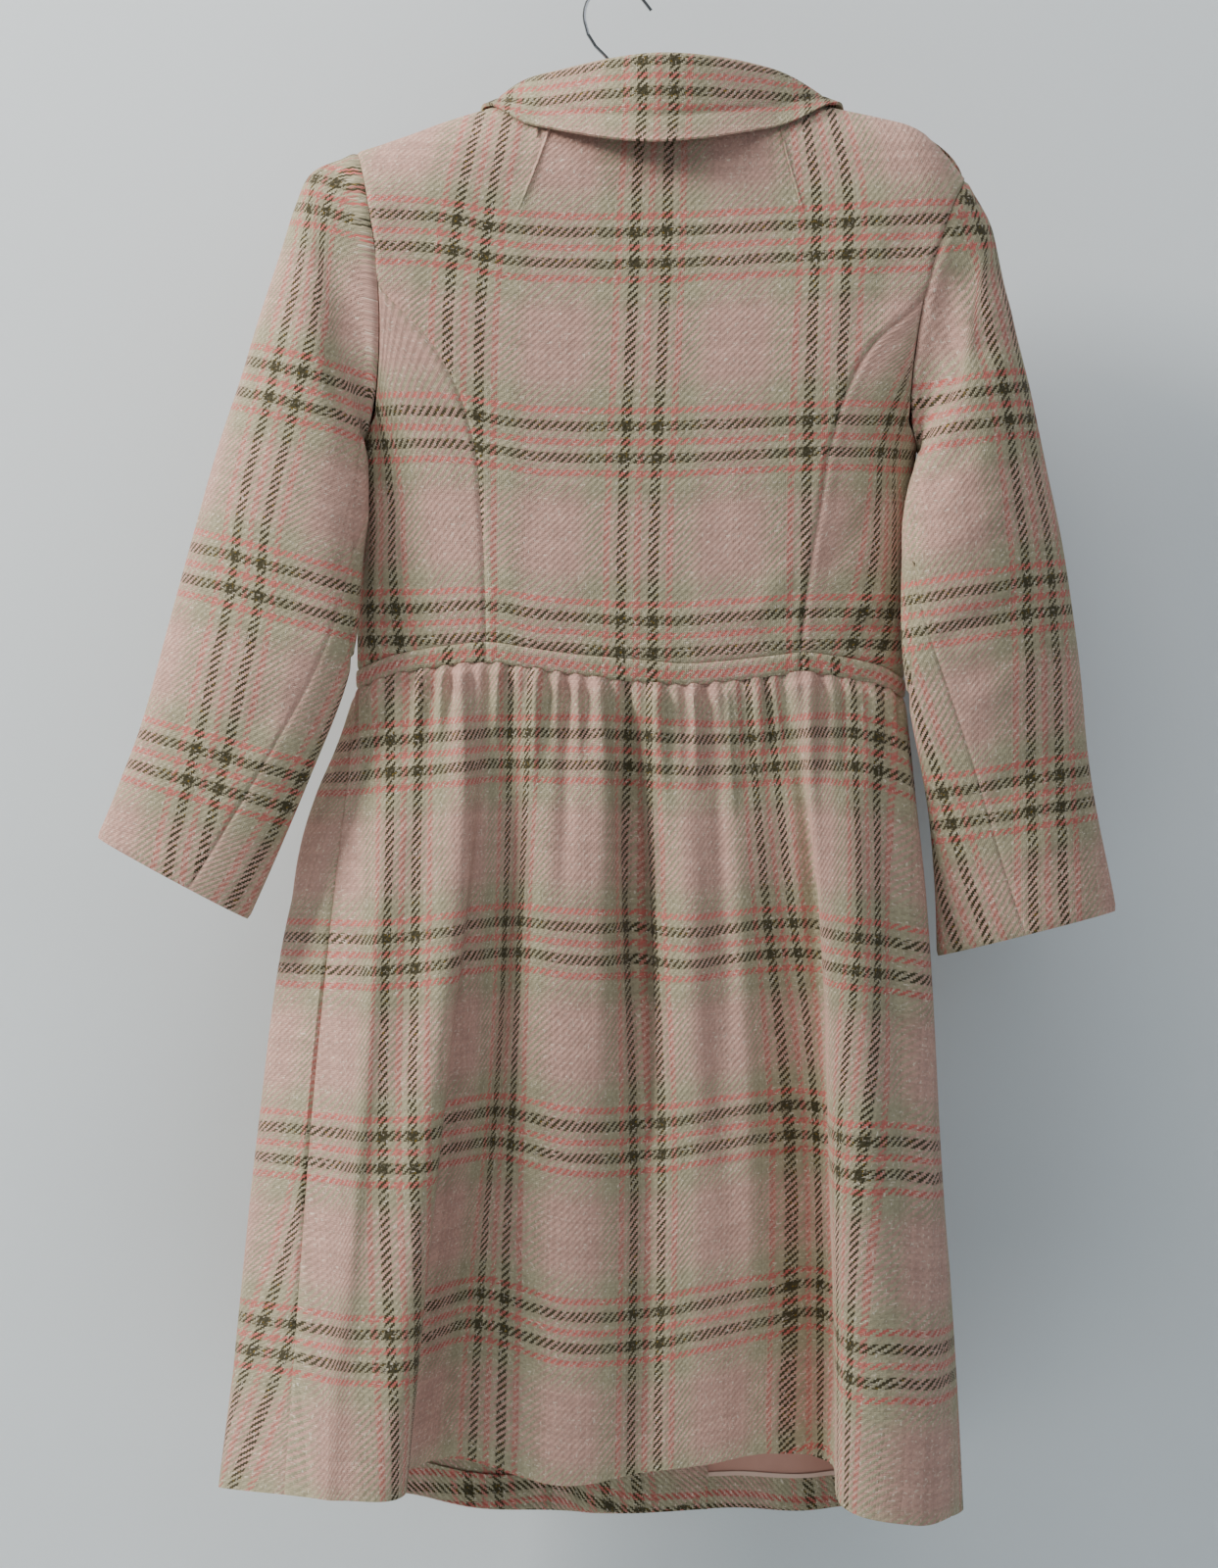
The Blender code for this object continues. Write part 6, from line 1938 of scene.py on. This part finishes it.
@dataclass
class SkirtPieces:
    """The gathered skirt, its facing, its hem's turned-up edges and its lining."""

    cloth: bpy.types.Material
    satin: bpy.types.Material
    piping: bpy.types.Material
    layer_step: float = 5.0
    layer_rows: int = 34

    def __post_init__(self) -> None:
        """Reads the tables of the cloth once round the skirt."""
        self.skirt = Skirt()
        self.levels = self.cloth_levels()
        self.lines = self.line_heights()

    def cloth_levels(self) -> Array:
        """The cloth's place at each fold and level, once round.

        Returns:
            The values or points described, in millimetres.
        """
        back = np.array([[row.waist, row.high, row.low, row.hem] for row in BACK_CLOTH], float)
        fronts = []
        rows = BACK_FOLDS + FRONT_FOLDS
        names = (("waist_x", None), ("high_x", "high_y"), ("low_x", "low_y"), ("hem_x", "hem_y"))
        for level, (x_name, y_name) in enumerate(names):
            x = column(rows, x_name)
            angles = self.skirt.angles
            y = torso_point(angles, BAND_GUESS_HEIGHT)[:, 1] if y_name is None else column(rows, y_name)
            steps = np.hypot(np.diff(x), np.diff(y))[len(BACK_FOLDS) - 1 :] * FRONT_FULLNESS_RATIO[level]
            fronts.append(back[-1, level] - np.cumsum(steps))
        return np.concatenate([back, np.array(fronts).T])

    def line_heights(self) -> Array:
        """The heights of the groups of lines at each fold, once round.

        Returns:
            The values or points described, in millimetres.
        """
        back = np.array([row[4:] for row in BACK_CLOTH], float)
        half = len(FRONT_FOLDS) // 2
        fronts = [FRONT_LINES[Side.RIGHT]] * half + [FRONT_LINES[Side.LEFT]] * (len(FRONT_FOLDS) - half)
        return np.concatenate([back, np.array(fronts, float)])

    def weave(self, place: Array | float, share: Array | float, points: Array) -> Array:
        """The weave's places: along the cloth from the tables, and down it from its lines' heights.

        Args:
            place: Place round the skirt in waist millimetres.
            share: Share of the way down or along.
            points: Grid or line of points.

        Returns:
            The values or points described, in millimetres.
        """
        girth = self.skirt.girth
        turned = np.where(np.asarray(place) > girth - 1e-6, girth, np.mod(place, girth))
        knots = np.append(self.skirt.places, girth)
        weights = smooth(share, FOLD_LEVELS, np.eye(len(FOLD_LEVELS)))
        last = self.levels[-1] - (self.levels[-2] - self.levels[-1])
        around = smooth(turned, knots, np.concatenate([self.levels, last[None]]))
        u = np.sum(weights * around, axis=-1)
        heights = smooth(turned, knots, np.concatenate([self.lines, self.lines[:1]]))
        z = points[..., 2]
        first, second, third, fourth = [heights[..., i] for i in range(4)]
        v = np.where(z > second, (z - first) / (first - second), -1 + (z - second) / (second - third))
        v = np.where(z < third, -2 + (z - third) / (third - fourth), v)
        return np.stack([u, v * WEFT_REPEAT], axis=-1)

    def relief(self, place: Array | float, share: Array | float, base: Array) -> Array:
        """The tucks under the waistband and the softer folds below them.

        Args:
            place: Place round the skirt in waist millimetres.
            share: Share of the way down or along.
            base: Points before the folds.

        Returns:
            The values or points described, in millimetres.
        """
        top = self.skirt.base(place, 0.0)
        x = top[..., 0]
        back = (np.mod(place, self.skirt.girth) < self.skirt.right_seam) | (place == self.skirt.right_seam)
        drop = top[..., 2] - base[..., 2]
        lift = np.zeros(x.shape)
        across = np.where(back, x, x * 0.93 - 2)
        for tuck in TUCKS:
            side = (across - tuck.x) / tuck.width
            lean = np.where(side < 0, side * 1.8, side * 0.9)
            rise = np.clip(drop / 9, 0.35, 1)
            fade = np.clip(1 - drop / tuck.reach, 0, 1)
            lift += tuck.height * np.exp(-(lean**2)) * rise * fade**0.8
        for fold in SOFT_FOLDS:
            side = (across - fold.x) / fold.width
            run = np.clip((share - fold.start) / (fold.end - fold.start), 0, 1)
            lift += fold.depth * np.exp(-(side**2)) * np.sin(math.pi * run) ** 0.8
        return lift

    def surface(self, place: Array | float, share: Array | float, side: Side) -> tuple[Array, Array]:
        """Outer points of the skirt with every fold, and its plain normals.

        Args:
            place: Place round the skirt in waist millimetres.
            share: Share of the way down or along.
            side: The wearer's side.

        Returns:
            The two arrays described.
        """
        place, share = np.broadcast_arrays(np.asarray(place, float), np.asarray(share, float))
        plain = self.skirt.surface(place, share)
        normals = self.skirt.normal_of(self.skirt.base, place, share)
        level = unit(normals * np.array([1.0, 1.0, 0.15]))
        lift = self.relief(place, share, plain) + skirt_lap(self.skirt, place, side)
        hem = 1 - 0.55 * np.clip((share - 0.9) / 0.1, 0, 1)
        swells = waves(plain * np.array([1.0, 1.0, 0.45]), 15.0, 3)
        lift = lift * hem + 0.7 * swells * np.clip(share * 8, 0, 1)
        return plain + level * lift[..., None], normals

    def panel(self, name: str, side: Side, columns: int, rows: int) -> None:
        """One skirt piece.

        Args:
            name: Name of the piece or column.
            side: The wearer's side.
            columns: Number of columns.
            rows: Number of rows.
        """
        first, last, _ = skirt_span(self.skirt, side)
        place = first + (last - first) * spread(last - first, (last - first) / columns)[None, :]
        share = np.concatenate([np.linspace(0, 0.10, rows // 3), np.linspace(0.10, 1, rows - rows // 3)[1:]])
        points, normals = self.surface(place, share[:, None], side)
        across = grid_distance(points)
        edge = np.minimum(across, across[:, -1:] - across)
        points = points - normals * (0.9 * np.exp(-((edge / 1.6) ** 2)))[..., None]
        top = np.clip(1 - (points[:1, :, 2] - points[..., 2]) / 5, 0, 1)
        points = points - normals * (1.3 * top**2)[..., None]
        outward = grid_normals(points, normals)
        inner = points - outward * SKIRT_CLOTH
        shape = points.shape[:2]
        places = self.weave(np.broadcast_to(place, shape), np.broadcast_to(share[:, None], shape), points)
        Piece(f"{name}_cloth", points, inner, places, self.cloth, name, held=Held.GATHERED).build()

    def inside(self, layer: Layer, finish: bpy.types.Material) -> None:
        """A layer on the inside of a front, from one height above the hem to another.

        Args:
            layer: The layer's place and sizes.
            finish: The piece's material.
        """
        first, last, _ = skirt_span(self.skirt, layer.side)
        width = layer.end - layer.start
        columns = layer.start + width * spread(1000 * width, self.layer_step)
        if layer.side == Side.LEFT:
            place = first + (last - first) * columns
        else:
            place = last + (first - last) * columns
        rows = np.linspace(1, 0, self.layer_rows)[:, None]
        low_line = layer.low
        if layer.corner:
            across = np.abs(place - place[0])[None, :]
            inward = np.clip(1 - across / layer.corner, 0, 1)
            low_line = layer.low + layer.corner * (1 - np.sqrt(1 - inward**2))
        share = 1 - (low_line + (layer.high - low_line) * rows) / SKIRT_LENGTH
        share = np.broadcast_to(share, (self.layer_rows, len(place)))
        points, normals = self.surface(place[None, :], share, layer.side)
        outward = grid_normals(points, normals)
        outer = points - outward * (SKIRT_CLOTH + layer.gap)
        inner = outer - outward * layer.thickness
        places = self.weave(np.broadcast_to(place, share.shape), share, points) + np.array([layer.shift, 0.0])
        Piece(layer.name, outer, inner, places, finish, layer.node, layer.is_sheet, slot=layer.slot).build()

    def build(self) -> None:
        """Makes the skirt's pieces."""
        self.panel("skirt_back", Side.BACK, 330, 120)
        self.panel("skirt_front_right", Side.RIGHT, 200, 100)
        self.panel("skirt_front_left", Side.LEFT, 200, 100)
        tweed, satin, wall = Slot.TWEED, Slot.SATIN, SKIRT_CLOTH
        layers = (
            Layer(
                "facing_left_cloth", "facing_left", Side.LEFT, 0.0, 0.30, 1.5, 130.0, 0.5, wall, tweed,
                shift=40.0, corner=22.0,
            ),
            Layer("lining_right_cloth", "lining_right", Side.RIGHT, 0.17, 1.0, 24.0, 190.0, 0.6, 0.6, satin),
            Layer("hem_turn_up_right", None, Side.RIGHT, 0.0, 1.0, 1.0, 24.6, 0.3, 1.0, tweed, 10.0),
            Layer("hem_turn_up_left", None, Side.LEFT, 0.32, 1.0, 1.0, 24.6, 0.3, 1.0, tweed, 25.0),
            Layer("lining_piping", None, Side.RIGHT, 0.17, 1.0, 23.2, 26.2, 1.2, 0.9, satin, is_sheet=False),
        )
        finishes = {"lining_right_cloth": self.satin, "lining_piping": self.piping}
        for layer in layers:
            self.inside(layer, finishes.get(layer.name, self.cloth))


@dataclass
class SleevePieces:
    """The two-piece sleeves."""

    cloth: bpy.types.Material
    rows: int = 130
    row_power: float = 1.15
    step: float = 2.4
    top_width: float = 260.0
    under_width: float = 90.0

    def build(self) -> None:
        """Makes both sleeves."""
        for side in (Side.LEFT, Side.RIGHT):
            self.sleeve(side)

    def sleeve(self, side: Side) -> None:
        """One sleeve: a fine grid all round it, cut at its two seams.

        Args:
            side: The wearer's side.
        """
        sleeve = Sleeve(side)
        count = len(sleeve.loop)
        back, front = BACK_SEAM_SAMPLE, FRONT_SEAM_SAMPLE
        back_cuff = BACK_SEAM_AT_CUFF[side]
        rows = np.linspace(0, 1, self.rows)[:, None] ** self.row_power
        pieces = {
            "top": sleeve_columns(sleeve, front, back + count, FRONT_SEAM_AT_CUFF, back_cuff + 360, 1),
            "under": sleeve_columns(sleeve, back, front, back_cuff, FRONT_SEAM_AT_CUFF, 2),
        }
        for name, (at_armhole, at_cuff) in pieces.items():
            width = self.top_width if name == "top" else self.under_width
            places = spread(width, self.step)
            coarse = np.linspace(0, 1, len(at_armhole))
            start = np.interp(places, coarse, at_armhole)
            end = np.interp(places, coarse, at_cuff)
            degrees = start[None, :] * (1 - rows) + end[None, :] * rows
            share = np.broadcast_to(rows, degrees.shape)
            points = sleeve.surface(share, degrees)
            low = np.clip((UNDERARM_PUSH[0] - points[..., 2]) / (UNDERARM_PUSH[0] - UNDERARM_PUSH[1]), 0, 1)
            points = points + lie_outside(points, UNDERARM_GAP) * (low * np.clip(share * 12, 0, 1))[..., None]
            middle = smooth(share, sleeve.places, (sleeve.outer + sleeve.inner) / 2)
            outward = grid_normals(points, points - middle)
            back_side = np.clip(outward[..., 1] * 1.6 + 0.4, 0.25, 1)
            creases = creased(points, SLEEVE_CREASES[side]) * back_side
            lift = creases + 0.6 * waves(points, 17.0, 7 + len(name))
            edge = from_edges(points)
            lift = lift * np.clip(edge / 12, 0, 1) - 0.9 * np.exp(-((edge / 1.4) ** 2))
            lift = lift + 0.9 * np.exp(-(((grid_distance(np.swapaxes(points, 0, 1)).T - 5.0) / 4.0) ** 2))
            outer = points + outward * lift[..., None]
            outward = grid_normals(outer, outward)
            inner = outer - outward * SLEEVE_CLOTH
            weave = self.weave(side, name, points)
            node = f"sleeve_{side}_{name}"
            Piece(f"{node}_cloth", outer, inner, weave, self.cloth, node).build()

    def weave(self, side: Side, name: str, points: Array) -> Array:
        """The weave's places: across the sleeve by lengths square to its axis, and down along the axis.

        Args:
            side: The wearer's side.
            name: Top or under.
            points: Grid or line of points.

        Returns:
            The values or points described, in millimetres.
        """
        at = SLEEVE_CLOTH_AT[side]
        lean = at.lean
        v = (points[..., 2] - lean * (points[..., 0] - at.x) - at.height) / math.sqrt(1 + lean**2)
        axis = np.array([lean, 0.0, -1.0]) / math.sqrt(1 + lean**2)
        steps = np.diff(points, axis=1)
        steps = steps - np.sum(steps * axis, axis=-1, keepdims=True) * axis
        lengths = np.linalg.norm(steps, axis=2)
        distance = np.concatenate([np.zeros((len(points), 1)), np.cumsum(lengths, axis=1)], axis=1)
        turn = 1 if side == Side.LEFT else -1
        if name == "under":
            return np.stack([turn * (UNDER_WARP_SHIFT[side] - distance), v], axis=-1)
        track = np.array(SLEEVE_WARP[side], float)
        track = track[np.argsort(track[:, 0])]
        start = np.empty(len(points))
        for row in range(len(points)):
            seen = points[row, :, 1] > np.median(points[row, :, 1])
            z = points[row, seen, 2].mean()
            x = np.interp(z, track[:, 0], track[:, 1])
            gap = np.abs(points[row, :, 0] - np.interp(points[row, :, 2], track[:, 0], track[:, 1]))
            gap = np.where(seen, gap, 1e9)
            start[row] = distance[row, int(np.argmin(gap))]
        smoothing = np.ones(9) / 9
        start = np.convolve(np.pad(start, 4, mode="edge"), smoothing, mode="valid")
        return np.stack([-(distance - start[:, None]) * turn, v], axis=-1)


@dataclass
class CollarPiece:
    """The turned-down collar with its topstitched, upturned edge."""

    cloth: bpy.types.Material
    columns: int = 261
    stand_rows: int = 14
    fall_rows: int = 46
    stitch_at: float = 0.76
    stitch_width: float = 0.035
    stitch_depth: float = 1.3
    middle_x: float = -27.0
    weft_shift: float = 17.0

    def build(self) -> None:
        """Makes the collar."""
        points, normals = neckline_loop()
        keep = [i for i, point in enumerate(points) if not past_centre(i, point, len(points))]
        points, normals = points[keep], normals[keep]
        lengths = np.linalg.norm(np.diff(points, axis=0), axis=1)
        coarse = np.concatenate([[0], np.cumsum(lengths)])
        coarse = coarse / coarse[-1]
        share = np.linspace(0, 1, self.columns)
        points, normals = smooth(share, coarse, points), unit(smooth(share, coarse, normals))
        roll = np.stack(table_at(share, COLLAR, "share", ("roll_x", "roll_y", "roll_z")), axis=-1)
        edge = np.stack(table_at(share, COLLAR, "share", ("edge_x", "edge_y", "edge_z")), axis=-1)
        foot = points + normals * COLLAR_SEAT
        outward = edge - foot
        outward[:, 2] = 0
        outward = unit(outward)
        rise = np.linalg.norm(roll - foot, axis=1, keepdims=True)
        drop = np.linalg.norm(edge - roll, axis=1, keepdims=True)
        up = np.array([0.0, 0.0, 1.0])
        stand_parts = np.linspace(0, 1, self.stand_rows + 1)[:-1]
        rows = [hermite(p, foot, roll, up * rise, outward * ROLL_STIFFNESS) for p in stand_parts]
        for part in np.linspace(0, 1, self.fall_rows):
            arrive = unit(edge - roll + outward * 4.0) * drop
            row = hermite(part, roll, edge, outward * 2.2 * ROLL_STIFFNESS, arrive)
            lip = max(0.0, (part - self.stitch_at) / (1 - self.stitch_at))
            stitch = self.stitch_depth * math.exp(-(((part - self.stitch_at) / self.stitch_width) ** 2))
            rows.append(row + outward * (COLLAR_LIP * 1.3 * lip - stitch))
        visible = np.array(rows)
        gradient_down = np.gradient(visible, axis=0)
        around = np.gradient(visible, axis=1)
        hidden = COLLAR_CLOTH * unit(np.cross(around, gradient_down))
        fall = self.stand_rows + 1
        stretches = (slice(0, 1), slice(1, fall), slice(fall, None))
        for chosen, gap in zip(stretches, (COLLAR_SEAT, STAND_REST, COLLAR_REST)):
            visible[chosen] += lie_outside(visible[chosen], gap)
            visible[chosen] += lie_outside(visible[chosen] + hidden[chosen], gap)
        down = grid_distance(np.swapaxes(visible, 0, 1)).T
        middle = np.argmin(np.abs(visible[2 * fall, :, 0] - self.middle_x))
        across = grid_distance(visible)
        u = across[:, middle : middle + 1] - across
        v = down[self.stand_rows : self.stand_rows + 1] - down + self.weft_shift
        places = np.stack([u, v], axis=-1)
        inner = visible + hidden
        Piece("collar_cloth", visible, inner, places, self.cloth, "collar", held=Held.FOLDED).build()


def carried_over(frame: dict) -> None:
    """Finishes of the CAD nodes that are shown as they are.

    Args:
        frame: The loaded frame.
    """
    wood = PlainFinish("lacquered_wood", "8A6038", "6F4A28", 0.4, scale=30.0).material()
    chrome = PlainFinish("chrome_wire", "C9CBCC", "C9CBCC", 0.16, metallic=1.0, scale=200.0).material()
    button = PlainFinish("horn_button", "4A342A", "2C1F1A", 0.3, scale=90.0).material()
    chosen = {"hanger_bar": (wood, Slot.WOOD), "hanger_hook": (chrome, Slot.WIRE)}
    chosen.update({f"button_{number}": (button, Slot.BUTTON) for number in (1, 2, 3)})
    for node, (finish, slot) in chosen.items():
        thing = frame["nodes"][node]
        thing.data.materials.clear()
        thing.data.materials.append(finish)


@dataclass
class Studio:
    """Camera, wall, floor and soft lights."""

    lens: float = 82.5
    sensor: float = 36.0
    eye: tuple = (0.0043, 2.45, -0.544)
    aim_height: float = -0.5
    wall_y: float = -0.135
    floor_z: float = -1.70
    sweep: float = 0.35
    sweep_steps: int = 12
    half_width: float = 4.0
    air: float = 0.16

    def build(self) -> None:
        """Makes the set."""
        self.camera()
        self.wall()
        self.lamp("key", (2.4, 0.85, 1.25), 0.8, 0.8, 135.0, "FFF9F2")
        self.lamp("fill", (-1.5, 2.3, 0.2), 1.8, 1.8, 9.0, "EEF3FF")
        self.lamp("top", (0.1, 0.9, 1.3), 1.2, 0.8, 17.0, "FFFFFF")
        world = bpy.data.worlds.new("studio_air")
        world.use_nodes = True
        world.node_tree.nodes["Background"].inputs[0].default_value = hex_colour("DCE4EA")
        world.node_tree.nodes["Background"].inputs[1].default_value = self.air
        bpy.context.scene.world = world

    def camera(self) -> None:
        """The photo's camera: level, straight at the back of the coat."""
        data = bpy.data.cameras.new("photo_camera")
        data.lens = self.lens
        data.sensor_width = self.sensor
        data.clip_start, data.clip_end = 0.05, 50.0
        thing = bpy.data.objects.new("photo_camera", data)
        thing.location = self.eye
        thing.rotation_euler = (math.radians(90), 0.0, math.radians(180))
        bpy.context.scene.collection.objects.link(thing)
        bpy.context.scene.camera = thing

    def wall(self) -> None:
        """A pale wall that sweeps into a pale floor."""
        bend_z = self.floor_z + self.sweep
        profile = [(self.wall_y, 2.2), (self.wall_y, bend_z)]
        for step in range(1, self.sweep_steps + 1):
            turn = math.pi / 2 * step / self.sweep_steps
            out, down = self.sweep * (1 - math.cos(turn)), self.sweep * math.sin(turn)
            profile.append((self.wall_y + out, bend_z - down))
        profile.append((self.half_width, self.floor_z))
        mesh = bpy.data.meshes.new("pale_wall")
        points = [(x, y, z) for y, z in profile for x in (-self.half_width, self.half_width)]
        faces = [(2 * i, 2 * i + 1, 2 * i + 3, 2 * i + 2) for i in range(len(profile) - 1)]
        mesh.from_pydata(points, [], faces)
        mesh.shade_smooth()
        kit = NodeKit("painted_wall")
        place = kit.node("ShaderNodeTexCoord").outputs["Object"]
        noise = kit.node("ShaderNodeTexNoise", Vector=place, Scale=350.0, Detail=3.0, Roughness=0.6)
        kit.set(Roughness=0.9)
        kit.shader.inputs["Base Color"].default_value = hex_colour("E4ECF0")
        bump = kit.node("ShaderNodeBump", Strength=0.12, Distance=0.0008, Height=noise.outputs[0])
        kit.link(bump.outputs[0], "Normal")
        mesh.materials.append(kit.material)
        thing = bpy.data.objects.new("pale_wall", mesh)
        bpy.context.scene.collection.objects.link(thing)

    def lamp(self, name: str, place: tuple, width: float, height: float, power: float, colour: str) -> None:
        """A soft rectangular lamp aimed at the coat's middle.

        Args:
            name: The lamp's name.
            place: Where the lamp stands, in metres.
            width: The lamp's width.
            height: The lamp's height.
            power: Watts.
            colour: Hex code of the light's colour.
        """
        data = bpy.data.lights.new(name, "AREA")
        data.shape = "RECTANGLE"
        data.size, data.size_y = width, height
        data.energy = power
        data.color = hex_colour(colour)[:3]
        thing = bpy.data.objects.new(name, data)
        thing.location = place
        toward = Vector((0.0, 0.0, self.aim_height)) - Vector(place)
        thing.rotation_euler = toward.to_track_quat("-Z", "Y").to_euler()
        bpy.context.scene.collection.objects.link(thing)


def main() -> None:
    """Builds the coat's looks on its frame."""
    cloth = PlaidTweed().material()
    Bodice(cloth).build()
    satin = SatinLining().material()
    piping = PlainFinish("satin_piping", "D8B7A6", "D8B7A6", 0.45).material()
    SkirtPieces(cloth, satin, piping).build()
    SleevePieces(cloth).build()
    CollarPiece(cloth).build()
    carried_over(frame)
    Studio().build()


if __name__ == "__main__":
    main()
